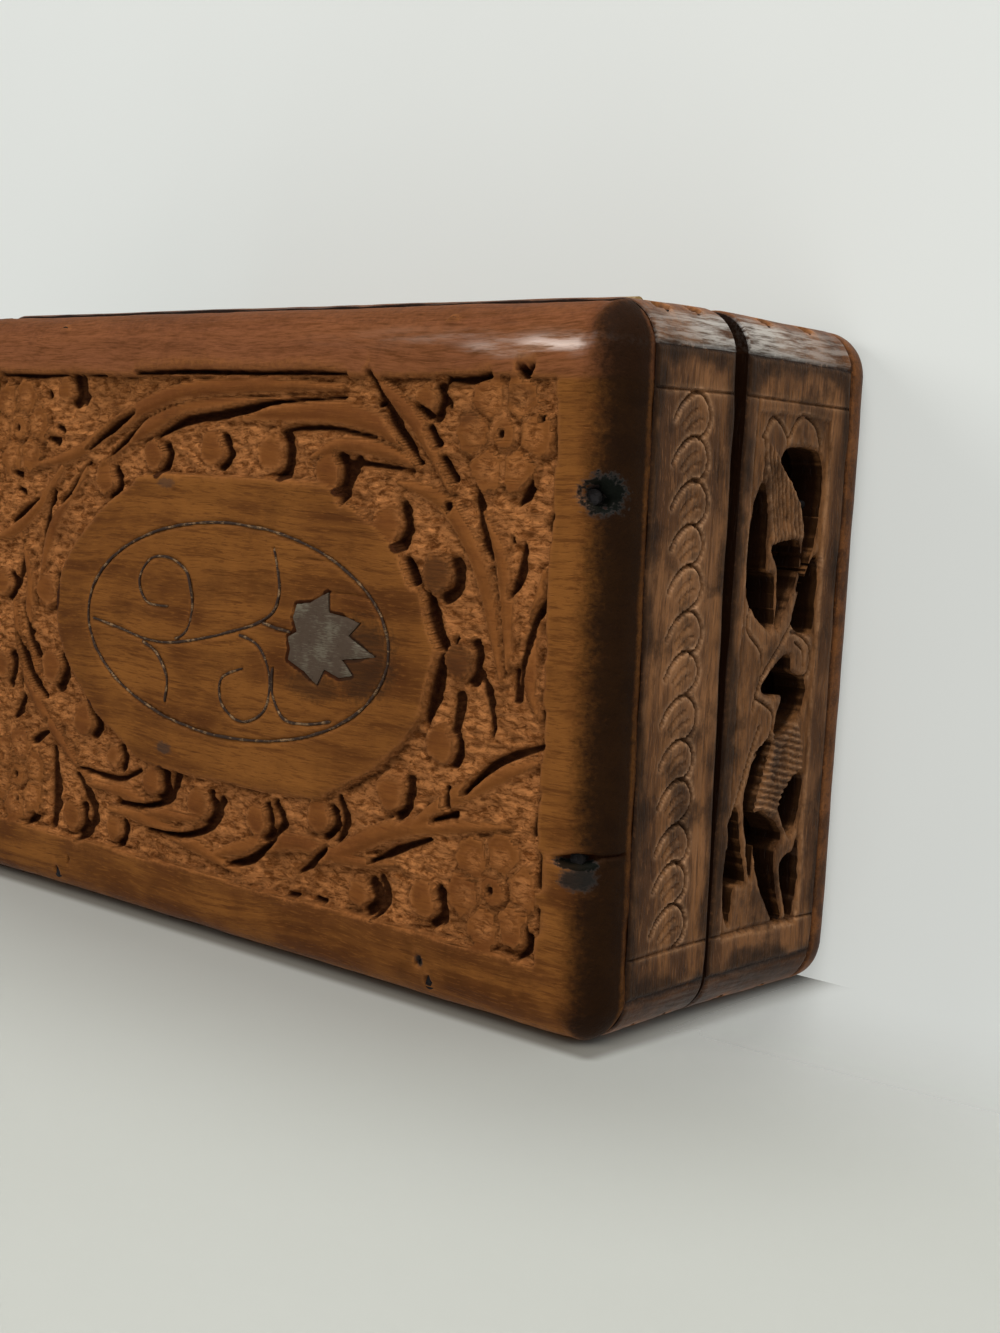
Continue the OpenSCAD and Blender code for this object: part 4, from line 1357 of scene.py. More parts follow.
@dataclass(frozen=True)
class FieldPattern:
    """Motifs of the lid's carved field, in millimetres from the lid's middle.

    A leaf's or gouge's third value is its half width there. A berry's or pit's is its radius, and a flower's
    is its turn in degrees. The medallion's quarter is given in shares of its half sizes.
    """

    leaves: tuple[Run, ...] = (
        [(-52, 24, .5), (-40, 26.5, 1.2), (-28, 32, 1.5), (-14, 36.6, 1.5), (4, 37.9, 1.3), (24, 37.8, .5)],
        [(-33, 25, .5), (-24, 30, 1.3), (-10, 34, 1.6), (8, 34.2, 2), (22, 34, 2.2), (33, 32, 1.6),
         (40, 28, .4)],
        [(18, 27.5, .4), (24, 29.5, 1.1), (33, 28.8, 1.2), (41, 26.6, .4)],
        [(31, 38.6, 1), (36, 35.4, 1.4), (41, 31, 1.4), (46, 24, .6)],
        [(36, 24.5, .4), (44, 22.5, 1.4), (50, 17, 1.5), (54, 9, 1.4), (57, -2, .5)],
        [(53, 21, .4), (56, 15, 1.3), (57.5, 8, 1.4), (58, 0, .4)],
        [(64, 14, .4), (62.5, 7, 1.2), (62, -1, 1.2), (64, -6, .5)],
        [(40, -25, .4), (47, -20.5, 1.4), (55, -16, 1.6), (64, -12, .6)],
        [(20, -34, .4), (29, -29.5, 1.5), (38, -25.5, 1.7), (48, -23.5, 1.2), (60, -21.5, .4)],
        [(-4, -36.6, .5), (6, -33.5, 1.5), (16, -31, 1.6), (28, -31.6, 1.2), (38, -30.6, .4)],
        [(-36, -29.5, .5), (-26, -29.6, 1.2), (-17, -31.6, 1.4), (-6, -31, .6)],
        [(-30, -33, .5), (-20, -33.4, 1.2), (-8, -35.4, 1.4), (4, -38, .5)],
        [(-58, 0, .6), (-56, -9, 1.4), (-51, -17, 1.4), (-44, -23, 1.2), (-36, -29, .4)],
        [(-56, 12, .6), (-53.5, 4, 1.2), (-54, -5, 1.1), (-51, -12, .5)],
        [(-63, 11, .6), (-57, 13, 1.3), (-50, 18, 1.3), (-44, 24, .6)],
        [(-50, 5, .5), (-47.5, 12, 1.3), (-44, 17, 1.3), (-37, 24, .5)],
    )
    gouges: tuple[Run, ...] = (
        [(-62, 39.6, .2), (-52, 39.3, .3), (-42, 39.6, .1), (-33, 39.4, .2)],
        [(-24, 39.9, .2), (-10, 40.1, .4), (6, 39.9, .3), (17, 40, .3), (25, 39.7, .2)],
        [(-39.8, 38.6, 1.1), (-39.2, 35.8, 1.5)],
        [(-58.6, 22.6, .5), (-57.2, 22.2, .6)],
        [(-57.8, 19.8, .4), (-56.2, 19.2, .6)],
        [(-46.4, 30.8, .4), (-44.8, 30.2, .6)],
        [(-48.6, 28.8, .3), (-46.6, 28.2, .8)],
        [(-37, 27.3, .2), (-33, 29.6, .6), (-29, 31.6, .8), (-24.6, 33.6, .2)],
        [(-32, 26, .2), (-28.6, 28, .6), (-25.4, 30, .6), (-22, 32.6, .2)],
        [(-19, 29.8, .2), (-12, 32.4, .7), (-4, 33.4, .8), (4, 34.6, .7), (10, 35.6, .3), (24, 36.4, .2)],
        [(10.6, 31.2, .2), (15, 31.8, .4), (22, 31.9, .35), (31, 30.8, .15)],
        [(25, 27.1, .3), (30, 26.9, .4), (38.6, 26.3, .15)],
        [(-45, 18, .5), (-42, 20.4, .8), (-37.4, 25, .3)],
        [(-50.8, 8, .5), (-49.5, 14, .8), (-47, 20, .3)],
        [(-57.8, 2.6, .4), (-56.6, 6.5, 1), (-55.4, 10.4, .4)],
        [(-59.6, 14, .5), (-55.4, 16.2, .8), (-51, 18.6, .4)],
        [(29.6, 40, .5), (31.4, 37.2, .8), (34.2, 33.8, .9), (37.2, 30.6, .7), (40.2, 27.4, .3)],
        [(24.8, 21.6, .7), (25.4, 24.6, 1.1), (27, 27.4, .8)],
        [(50.4, 25.2, .3), (51.4, 21.4, .9), (53, 17, .9), (54, 14.8, .3)],
        [(59.6, 17, .5), (59.2, 13.6, .8), (58, 10.2, .4)],
        [(42.6, 9, .5), (44, 5.4, 1), (45.8, 1.8, .7)],
        [(38, 13.6, .5), (40, 10.8, .8)],
        [(44.6, 39.2, .4), (44, 37.4, .5), (45.2, 35.6, .5)],
        [(45, 39.1, .4), (49, 39, .5), (53, 39.7, .4)],
        [(57.8, 41, .3), (59.2, 39.9, .8), (60.6, 40.8, .3)],
        [(60.8, 25.6, .4), (60, 24, .8), (58.6, 22.6, .4)],
        [(64.3, 19.6, .6), (64.8, 21.2, .6)],
        [(64.6, 37, .2), (64.9, 32, .35), (64.9, 28.4, .5), (64.4, 26.8, .3)],
        [(64.4, 10.4, .2), (62.2, 6.4, .9), (60.6, 1.6, 1), (59.6, -4, .5)],
        [(39.2, 35.4, .3), (41.2, 34.2, .7)],
        [(41.6, 32.4, .5), (43.2, 30.2, .6)],
        [(44.4, 28.2, .4), (46.6, 25.4, .5)],
        [(52.4, 0, .3), (54.4, -4.4, .8), (55.4, -9.6, .3)],
        [(59, 0, .3), (59.2, -4, .5)],
        [(64.9, -5, .3), (64.7, -9.4, .5)],
        [(51, -18, .4), (55, -14.2, .7), (58.6, -12, .7), (65, -9.6, .3)],
        [(47.4, -18, .5), (47.6, -20.2, .8)],
        [(45, -22.9, .2), (49, -21.5, .6)],
        [(64.8, -16, .3), (63.6, -22, .4)],
        [(65, -24.5, .7), (65.2, -28.5, .7)],
        [(65.4, -32, .4), (65.3, -35, .5)],
        [(63.3, -35, .4), (63.5, -37.6, .6), (62, -39.2, .5)],
        [(48.8, -5, 1.1), (48.6, -9.4, 1)],
        [(45.4, .4, .5), (44.6, -4, 1.1), (43, -9, .6)],
        [(33, -31, .3), (38, -28.4, .7), (44.4, -25.8, .3)],
        [(34.4, -33.2, .5), (35.6, -36, 1), (34, -39, .5)],
        [(47, -33.2, .6), (47.1, -37, .8)],
        [(25.4, -22.8, .7), (27, -26, 1), (25.4, -29.2, .5)],
        [(11.6, -25.8, .8), (13.2, -28.6, .9), (10.8, -31.2, .5)],
        [(1, -37, .3), (6, -35.5, .8), (12.2, -31, .4)],
        [(17, -35.5, .3), (20, -33.5, .8), (23.4, -30.8, .4)],
        [(-55.8, -.4, .9), (-54, -4.5, 1), (-51.4, -9.2, .5)],
        [(-57.2, -5.8, .4), (-55.4, -9, .8), (-52.6, -12.8, .8), (-48.8, -16.2, .3)],
        [(-58.8, -20.9, .4), (-56.8, -18.9, 1.1), (-55.6, -16.8, .7)],
        [(-52.4, -24.2, .8), (-50.6, -23.2, .7), (-49, -22.4, .3)],
        [(-46.8, -25, .6), (-46, -29.6, 1.2), (-45.8, -34.4, 1.4), (-46.8, -38.2, .9)],
        [(-39.9, -28.6, .5), (-36.8, -31.6, 1.1), (-34.6, -34.8, 1.1), (-36.4, -38.2, .9),
         (-38.6, -39.6, .4)],
        [(-27.8, -31.7, .3), (-20, -31, .5), (-14.6, -29, .7), (-13, -25.2, 1)],
        [(-39, -27.2, .2), (-33, -27.8, .4), (-27.5, -27.6, .5), (-22.6, -25.4, .3)],
        [(-20, -35, .3), (-10, -34.3, .5), (-3.6, -31.4, .9), (-1.6, -27.4, 1)],
        [(-53.8, -39, .6), (-51.8, -37.8, .8)],
        [(-56.5, -14.8, .6), (-56, -12.8, .4)],
        [(-48.6, -22, .4), (-48, -20.2, .4)],
        [(15, -39.3, .3), (17, -39.2, .4)],
        [(21, -38.8, .3), (23, -38.9, .3)],
    )
    pits: tuple[Triple, ...] = (
        (-49, 36.3, .8), (46, 21.6, .8), (48, 3, .7), (-57, -35.5, .6), (62.4, 34, .5), (43.4, -43.6, .7),
        (-41, -44, .5), (31.4, 35.6, .5), (-30.6, -22.8, .6), (57.6, 17.6, .5))
    berries: tuple[Triple, ...] = (
        (-32.5, 22.5, 2.9), (-19.5, 26.6, 2.7), (-5, 28, 2.9), (8.7, 28, 3.2), (21.5, 25.6, 2.8),
        (34, 18.8, 3.1), (44, 12, 3), (49, .3, 2.8), (46, -11.6, 3), (36.4, -20, 3), (21.6, -26, 2.8),
        (7.4, -29, 2.7), (-6.6, -28.6, 2.8), (-18.6, -26.4, 2.7), (-29, -24, 2), (-37.6, -18.6, 3),
        (-47, -10.6, 3), (-48.4, 2.6, 3), (-40.4, -36, 2.7), (-28.6, -36.2, 2.2), (30.6, -36, 2.4),
        (43.6, -34.8, 3), (41, 36.4, 2.2), (-43.6, 37, 2.2), (-62, 3, 2.6), (-62, -12, 2.6),
    )
    flowers: tuple[Triple, ...] = (
        (55.8, 31.8, 0), (57, -31, 14), (-57, 30.4, 8), (-56.6, -31, 22))
    cracks: tuple[Run, ...] = ([(15.8, 12.5), (22.8, 12.4)], [(22.9, 8), (31.4, 7.8)])
    petals: int = 6
    petal_r: float = 3.4
    petal_ring: float = 5.2
    boss_r: float = 2.3
    medallion: Pair = (45.0, 25.0)
    medallion_quarter: tuple[Pair, ...] = (
        (1, 0), (.96, .28), (.78, .63), (.56, .86), (.4, .95))
    vines: tuple[Run, ...] = (
        [(-34.4, -.9), (-27, -2), (-19, -3.3), (-10, -2.6), (0, -.3), (7, 1.8), (11, 4.2), (12, 8),
         (10.6, 13.6)],
        [(-12.6, -2.5), (-9.6, -.6), (-8.5, 4), (-10, 8.4), (-14, 10.4), (-19, 10.1), (-22, 6.6), (-20, 3),
         (-14.6, 2.6)],
        [(-21, -3.6), (-17, -5.3), (-14.5, -9), (-15, -13)],
        [(3, -.3), (7.6, -1.7), (10.2, -6), (9.4, -11.4), (4, -13.9), (-.6, -11.8), (-1, -7.6), (4, -5.5)],
        [(10.9, -4.6), (11.2, -9), (14, -12.3), (18.6, -12.4), (24, -11.4)],
        [(8.4, 2.1), (11.6, 1.5), (14.8, 1.2)],
    )
    oval: Pair = (35.7, 16.8)
    leaf: Run = (
        (14.2, .4), (16.2, 1.4), (15.2, 3.4), (16, 5.5), (19, 6), (22.8, 7.8), (23, 4.8), (26.4, 4.5),
        (29.6, 3.8), (27.2, 1.7), (33, -.8), (26, -1.9), (28.4, -4), (25.6, -4.6), (22.3, -3.7),
        (20.8, -6.2), (18, -4.5), (14.3, -3), (14.8, -1.4))

    def medallion_outline(self) -> Array:
        """Draws the medallion's outline from its quarter.

        Returns:
            Points of the outline, one per row.
        """
        quarter = np.array(self.medallion_quarter) * self.medallion
        upper = np.vstack([quarter, (quarter * (-1, 1))[::-1]])
        ring = np.vstack([upper, (upper * (1, -1))[::-1][1:-1]])
        return smooth_run([tuple(p) for p in ring], 5, closed=True)

    def oval_run(self) -> Run:
        """Draws the oval wire's run."""
        turns = np.radians(np.arange(0, 360, 15))
        return [(self.oval[0] * math.cos(t), self.oval[1] * math.sin(t)) for t in turns]


@dataclass(frozen=True)
class PiercedPattern:
    """Holes of the base's ends, as places across the end and depths below the rim."""

    holes: tuple[Run, ...] = (
        [(31.8, 12.4), (32, 17), (31.2, 20.8), (27, 21.8), (21, 21.4), (17, 20.4), (13.4, 18.8),
         (11.4, 17.4), (15, 17.9), (19, 18.2), (23.6, 17), (27.4, 13.8), (29.8, 10.8)],
        [(16.4, 21.8), (8, 22.2), (5.2, 21.8), (5.4, 18.6), (6.6, 16.6), (11, 18.2)],
        [(26.4, 6.6), (23.6, 4.8), (18, 3.9), (12, 4), (9, 5.4), (5.6, 10.6), (8.4, 11.2), (13.2, 10.8),
         (14, 8.6), (17.6, 8.2), (22, 7.8)],
        [(17.6, 10.2), (18.4, 16.8), (14, 16.9), (9.6, 14.8), (5.8, 12.4), (10, 12.3), (15, 11.6)],
        [(-2.8, 9.8), (.4, 13.4), (1.6, 16.2), (-1, 17.2), (-2.2, 20.8), (-5.4, 21), (-8, 19), (-10.4, 14.2),
         (-7.4, 14.4), (-4.2, 15.4), (-3.8, 12)],
        [(-11, 12.8), (-13, 9.8), (-16, 8.2), (-19.4, 7.3), (-24, 8.2), (-30.8, 10.1), (-26, 10),
         (-21.4, 9.6),
         (-17, 10.8), (-13.4, 12.2)],
        [(-20.4, 5), (-25, 3.6), (-31.4, 3), (-37, 4.9), (-31.6, 5.8), (-31.4, 8.6), (-26, 6.8)],
        [(-21.6, 10.2), (-22.6, 14.2), (-25.4, 17.6), (-28.6, 15.8), (-34, 17.4), (-38.6, 19), (-37.4, 16.4),
         (-31, 12.2), (-26, 10.7)],
        [(-20.2, 17), (-16.4, 21.4), (-20, 22.2), (-25.2, 20.6), (-24.2, 18.6)],
        [(-30, 18.4), (-28.4, 21.4), (-27, 22.4), (-34, 22.6), (-38.8, 21.6), (-34, 19.4)],
    )
    edges: tuple[Run, ...] = (
        [(33.2, 5.2), (36.2, 7.6), (34, 11), (32.4, 11.6)],
        [(33, 11.6), (36.8, 14.6), (35.6, 18.8), (32.4, 20.6)],
        [(33, 5.8), (29.4, 6.4), (25.6, 5.9)],
        [(16, 22.6), (9.6, 18.6), (4, 14), (-1.6, 9), (-6, 7.4)],
        [(9.4, 5.2), (5.8, 4.6), (2.4, 8.4), (-1.4, 8.8)],
        [(5.2, 16), (4.4, 19.4), (2.2, 21.8), (-1.2, 21.4), (-2, 18)],
        [(3.6, 17.4), (2.4, 19.6), (.2, 20)],
        [(-4.4, 8.2), (-6.6, 12.6), (-10, 12.6), (-12.8, 9)],
        [(-8.6, 9.4), (-15, 6.6), (-21, 4.2), (-27, 2.8)],
        [(-24, 12.4), (-30, 14.6), (-35, 15.2)],
    )
    leaves: tuple[Run, ...] = (
        [(32.6, 6.2), (29.4, 11), (27.2, 13.4), (23.4, 16.8), (18.6, 17.6), (17.8, 10), (21.8, 8.2),
         (26.4, 6.9)],
        [(-8.4, 19.4), (-8.6, 14.4), (-11.4, 12.6), (-17, 10.8), (-21.4, 10), (-22.4, 14.6), (-19.6, 17.4),
         (-15.6, 21.8)],
    )
    scallop: Run = (
        (-4.7, -.6), (-3.4, 1.2), (-1.4, 2.6), (.7, 3), (2.4, 1.9), (3.1, 0), (2.4, -1.9), (.8, -2.9))
    hatches: tuple[Run, ...] = (
        [(-3, -1.2), (-1.2, .4), (.6, 1.1)],
        [(-2.2, -2), (-.2, -.7), (1.5, -.3)],
    )
    scallop_pitch: float = 5.9
    chain_rise: float = 8.7
    scallop_r: float = 3.1


# --- The box's parts ---


@dataclass
class LidPanel:
    """The lid's top board with its carved field and plain medallion.

    Crests and floors are heights from the board's face. A rise is the place at which a tone starts to show
    and the one at which it shows fully, and a fall is the reverse.
    """

    sizes: BoxSizes = SIZES
    pattern: FieldPattern = FieldPattern()
    pitch: float = 0.38
    even_part: Pair = (66.2, 40.6)
    leaf_crest: float = -0.15
    leaf_tilt: float = 0.35
    berry_crest: float = -0.3
    petal_crest: float = -0.35
    ground: float = -1.2
    ground_shows: Pair = (-0.5, -0.95)
    gouge_floor: float = -2.3
    slot_floor: float = -1.9
    pit_depth: float = 1.2
    bevel_start: float = 40.8
    bevel_reach: float = 6.2
    back_bevel: float = 0.8
    front_bevel: float = 0.6
    rust_slot: Run = ((-2.6, -0.2, 0.3), (0, 0, 0.75), (2.2, 0.2, 0.5))
    rust_crack: Run = ((2, 0.3), (5, 0.6))
    filler_r: float = 2.8
    ruddy_rise: Pair = (38.8, 40.2)
    end_dark_and_shade_rise: Pair = (67.0, 75.0)
    rubbed_rise: Pair = (75.5, 76.5)
    front_shade_rise: Pair = (46.6, 49.6)
    dark_back_rise: Pair = (44.6, 50.0)

    def carve(self, relief: Relief) -> None:
        """Carves the field.

        Args:
            relief: The board's heights.
        """
        sizes, wave = self.sizes, relief.wave
        u, v = relief.u, relief.v
        half_u, half_v = sizes.half_l - sizes.border_end, sizes.half_w - sizes.border_side
        edge = np.minimum(half_u - np.abs(u), half_v - np.abs(v))
        edge = edge + 0.22 * wave((5, 5), 11) + 0.16 * wave((1.5, 1.5), 12) - 0.15
        chips = 0.28 * wave((2.1, 0.95), 13) + 0.26 * wave((1.2, 0.8), 14)
        floor = self.ground + 0.3 * wave((6, 5), 15) + chips
        relief.sink_field(edge, floor)
        for leaf in self.pattern.leaves:
            relief.stand_run(leaf, self.leaf_crest, self.leaf_tilt)
        for k, (x, y, turn) in enumerate(self.pattern.flowers):
            self._flower(relief, x, y, turn, k)
        for k, (x, y, radius) in enumerate(self.pattern.berries):
            self._berry(relief, x, y, radius, k)
        self._medallion(relief)
        plain = inside_distance(u, v, self.pattern.medallion_outline())
        relief.marks["raised"] = ease(-0.4, 0.4, edge) * ease(0.3, -0.5, plain)
        for cut in self.pattern.gouges:
            relief.gouge(cut, self.gouge_floor)
        for k, (x, y, radius) in enumerate(self.pattern.pits):
            relief.pit(x, y, radius, self.pit_depth, 60 + k)

    def _berry(self, relief: Relief, x: float, y: float, radius: float, seed: int) -> None:
        """Leaves a round berry standing, with the deep cut at its right, which gets painted shade.

        Args:
            relief: The board's heights.
            x: Its centre on u.
            y: Its centre on v.
            radius: Its radius.
            seed: Seed of its unevenness.
        """
        reach = radius + 2.6
        at = (np.abs(relief.u - x) < reach) & (np.abs(relief.v - y) < reach)
        du, dv = relief.u[at] - x, relief.v[at] - y
        angle = np.arctan2(dv, du)
        rng = np.random.default_rng(700 + seed)
        wobble = 0.06 * np.cos(3 * angle + rng.uniform(0, 6))
        wobble += 0.04 * np.cos(5 * angle + rng.uniform(0, 6))
        away = np.hypot(du, dv)
        size = radius * (1 + wobble)
        lean = rng.uniform(-0.06, 0.06, 2)
        crest = self.berry_crest - 0.7 * (1 - np.sqrt(np.clip(1 - (away / size) ** 2 * 0.8, 0, 1)))
        relief.stand(size - away, crest + lean[0] * du + lean[1] * dv, at)
        right = ease(0.2, 0.7, np.cos(angle + rng.uniform(-0.1, 0.35)))
        width = rng.uniform(1.0, 1.8) * right + 0.2
        beyond = away - size
        shade = right * ease(-0.4, 0.25, beyond) * ease(width + 0.2, width - 0.5, beyond)
        # The cut at the berry's right is sunk and marked for painted shade
        relief.sink(at, shade, self.gouge_floor)

    def _flower(self, relief: Relief, x: float, y: float, turn: float, seed: int) -> None:
        """Leaves a corner flower standing: scooped petals round a ringed boss.

        Args:
            relief: The board's heights.
            x: Its centre on u.
            y: Its centre on v.
            turn: Turn of its petals in degrees.
            seed: Seed of its unevenness.
        """
        pattern = self.pattern
        reach = pattern.petal_ring + pattern.petal_r + 1.5
        at = (np.abs(relief.u - x) < reach) & (np.abs(relief.v - y) < reach)
        du, dv = relief.u[at] - x, relief.v[at] - y
        away, angle = np.hypot(du, dv), np.arctan2(dv, du)
        inside, crest = np.full(du.shape, -9.0), np.full(du.shape, -0.9)
        for k in range(pattern.petals):
            way = math.radians(turn + k * 360 / pattern.petals)
            px = du - pattern.petal_ring * math.cos(way)
            py = dv - pattern.petal_ring * math.sin(way)
            gap = np.hypot(px, py)
            lobes = 0.22 * np.cos(9 * np.arctan2(py, px) + k + seed)
            here = pattern.petal_r + lobes - gap
            scoop = 0.3 * ease(pattern.petal_r, 0.6, gap)
            crest = np.where(here > inside, self.petal_crest - scoop, crest)
            inside = np.maximum(inside, here)
        centre = pattern.petal_ring - 1.2 - away
        inside, crest = np.maximum(inside, centre), np.where(centre > inside, -0.6, crest)
        relief.stand(inside, crest, at)
        veins = np.abs(np.sin((angle - math.radians(turn)) * pattern.petals / 2 + math.pi / 2))
        cut = (1 - ease(0.0, 0.34, veins)) * ease(2.2, 3.6, away) * (inside > 0) * 0.5
        boss = 1 - ease(pattern.boss_r - 0.3, pattern.boss_r + 0.1, away)
        ring = 1 - ease(0.2, 0.65, np.abs(away - pattern.boss_r - 0.25))
        ring *= 0.4 + 0.3 * np.cos(angle + 0.5)
        hub = 1 - ease(0.3, 0.9, np.hypot(du + 0.7, dv))
        relief.height[at] += boss * 0.15 - ring - cut - hub * 0.9
        # Painted shade in the hub's hole
        relief.marks["cut"][at] = np.maximum(relief.marks["cut"][at], 0.9 * hub)

    def _medallion(self, relief: Relief) -> None:
        """Leaves the medallion standing and cuts the inlay's grooves and seat into it.

        Args:
            relief: The board's heights.
        """
        wander = 0.18 * relief.wave((4, 4), 21) + 0.1 * relief.wave((1.4, 1.4), 22)
        inside = inside_distance(relief.u, relief.v, self.pattern.medallion_outline()) + wander
        relief.stand(inside, -0.12 * (1 - ease(0.0, 0.9, inside)))
        relief.groove(self.pattern.oval_run(), 0.4, 0.34, 6, closed=True)
        for vine in self.pattern.vines:
            relief.groove(vine, 0.36, 0.3)
        for crack in self.pattern.cracks:
            relief.groove(crack, 0.28, 0.3)
        seat = inside_distance(relief.u, relief.v, np.array(self.pattern.leaf))
        relief.height -= 0.5 * ease(-0.35, 0.1, seat)
        # Darkens the wood in patches just round the leaf's seat
        patches = ease(-0.5, 0.2, relief.wave((4, 4), 23))
        relief.marks["cut"] = np.maximum(relief.marks["cut"], 0.9 * patches * ease(-0.8, -0.3, seat))

    def _bevel(self, relief: Relief) -> None:
        """Planes the long borders down towards their edges, up to a mitre at the rounded ends.

        Args:
            relief: The board's heights.
        """
        start = self.sizes.half_l - self.sizes.top_round
        bend = np.clip((np.abs(relief.u) - start) / self.sizes.top_round, 0, 1)
        end_drop = self.sizes.top_round * (1 - np.sqrt(1 - bend ** 2))
        depth = np.where(relief.v > 0, self.back_bevel, self.front_bevel)
        share = np.clip((np.abs(relief.v) - self.bevel_start) / self.bevel_reach, 0, 1)
        relief.height -= np.maximum(depth * share - end_drop, 0)

    def _nail_holes(self, relief: Relief) -> None:
        """Opens the nails' holes: rusted open at the ends, and almost closed along the sides.

        Args:
            relief: The board's heights.
        """
        sizes = self.sizes
        x, y = sizes.half_l - sizes.nail_inset, sizes.half_w - sizes.end_nail_inset
        x_side, y_side = sizes.half_l - sizes.side_nail_inset, sizes.half_w - sizes.nail_inset
        for side in (-1, 1):
            relief.pit(side * (x + 0.6), y + 0.4, 1.5, 1.7, 1 + side)
            relief.pit(side * (x + 1.8), y - 0.7, 1.1, 1.2, 4 + side)
            relief.gouge([(side * (x + a), b - y, half) for a, b, half in self.rust_slot], self.slot_floor)
            relief.groove([(side * (x + a), b - y) for a, b in self.rust_crack], 0.25, 0.5)
            relief.pit(side * x_side, -y_side, 0.7, 1.1, 7)
            away = np.hypot(relief.u - side * x_side, relief.v - y_side)
            filler = -0.92 + 0.44 * (relief.v - y_side) - 1.4 * ease(1.3, self.filler_r, away)
            filled = np.maximum(relief.height, filler)
            relief.height = np.where(away < self.filler_r, filled, relief.height)

    def _tones(self, relief: Relief) -> None:
        """Marks the ruddy back border, the dark ends and edges with their painted shade, and the polished
        part of the back edge with its painted highlight.

        Args:
            relief: The board's heights.
        """
        u, v, marks = relief.u, relief.v, relief.marks
        wander = relief.wave((9, 4), 35)
        beyond_u = np.abs(u) - self.sizes.half_l + self.sizes.border_end
        beyond_v = np.abs(v) - self.sizes.half_w + self.sizes.border_side
        marks["ground"] *= ease(0.9, 0.1, np.maximum(beyond_u, beyond_v))
        marks["ruddy"] = ease(*self.ruddy_rise, v + 0.2 * wander) * (1 - 0.9 * marks["ground"])
        # Dark wood and painted shade on the rounded ends, a little less at the very edge
        dark_and_shade = ease(*self.end_dark_and_shade_rise, np.abs(u) + 0.5 * wander)
        dark_and_shade *= 1 - 0.4 * ease(*self.rubbed_rise, np.abs(u))
        # Painted contact shade along the front edge, and darker wood towards the back edge
        front = 0.45 * ease(*self.front_shade_rise, 0.8 * wander - v)
        back = 0.4 * ease(*self.dark_back_rise, 0.8 * wander + v)
        marks["dark_and_shade"] = np.maximum(dark_and_shade, np.maximum(front, back))
        # Painted highlight on the polished back edge: a pale streaky band near its right end and a faint
        # sheen along it
        bright = band((44.0, 60.0), (68.0, 70.5), u) * band((42.2, 43.0), (43.8, 45.2), v)
        sheen = 0.16 * ease(10.0, 40.0, u) * band((43.2, 44.4), (45.2, 47.4), v)
        streaks = np.clip(0.55 + 0.8 * relief.wave((7, 0.6), 36), 0, 1)
        marks["polish_and_highlight"] = np.maximum(bright, sheen) * streaks

    def build(self, finish: WoodFinish) -> None:
        """Builds and dresses the board.

        Args:
            finish: Its wood.
        """
        sizes = self.sizes
        sheet = Sheet.rounded(sizes, sizes.panel, sizes.top_round, self.pitch, self.even_part,
                              sizes.lid_depth, 1)
        relief = Relief(sheet)
        self.carve(relief)
        self._bevel(relief)
        self._nail_holes(relief)
        relief.height += 0.10 * relief.wave((9, 5), 31) - 0.12 + 0.03 * relief.wave((2.4, 1.2), 32)
        relief.wear_rim(0.32, 0.8, 33)
        relief.find_marks(self.ground_shows)
        self._tones(relief)
        piece = make_piece("carved_panel", solid_board(relief), sizes.lay(), finish.build(), SOFT_CREASE)
        fit_piece(piece, "lid", "lid_panel")


@dataclass
class BottomBoard:
    """The board that the box stands on."""

    sizes: BoxSizes = SIZES
    pitch: float = 1.0
    even_part: Pair = (68.0, 44.0)
    hole_depth: float = 1.4

    def _nail_holes(self, relief: Relief) -> None:
        """Opens the holes in which the nails sit.

        Args:
            relief: The board's heights.
        """
        sizes, seed = self.sizes, 1
        places = ((sizes.half_l - sizes.nail_inset, sizes.half_w - sizes.end_nail_inset),
                  (sizes.half_l - sizes.side_nail_inset, sizes.half_w - sizes.nail_inset))
        for sx in (-1, 1):
            for sy in (-1, 1):
                for x, y in places:
                    relief.pit(sx * x, sy * y, sizes.nail_hole_r, self.hole_depth, seed)
                    seed += 1

    def build(self, finish: WoodFinish) -> None:
        """Builds and dresses the board.

        Args:
            finish: Its wood.
        """
        sizes = self.sizes
        sheet = Sheet.rounded(sizes, sizes.bottom, sizes.bottom_round, self.pitch, self.even_part, 0.0, -1)
        relief = Relief(sheet)
        self._nail_holes(relief)
        rounded = ease(68.0, 72.0, np.maximum(np.abs(relief.u), np.abs(relief.v) + 25.0))
        relief.height += rounded * (0.10 * relief.wave((9, 5), 41) - 0.12)
        relief.wear_rim(0.3, 0.7, 42)
        relief.find_marks()
        piece = make_piece("bottom_plank", solid_board(relief), LEVEL, finish.build(), CREASE)
        fit_piece(piece, "base", "bottom_board")


class Half(Enum):
    """Which half of the box a frame board belongs to."""

    BASE = "base"
    LID = "lid"


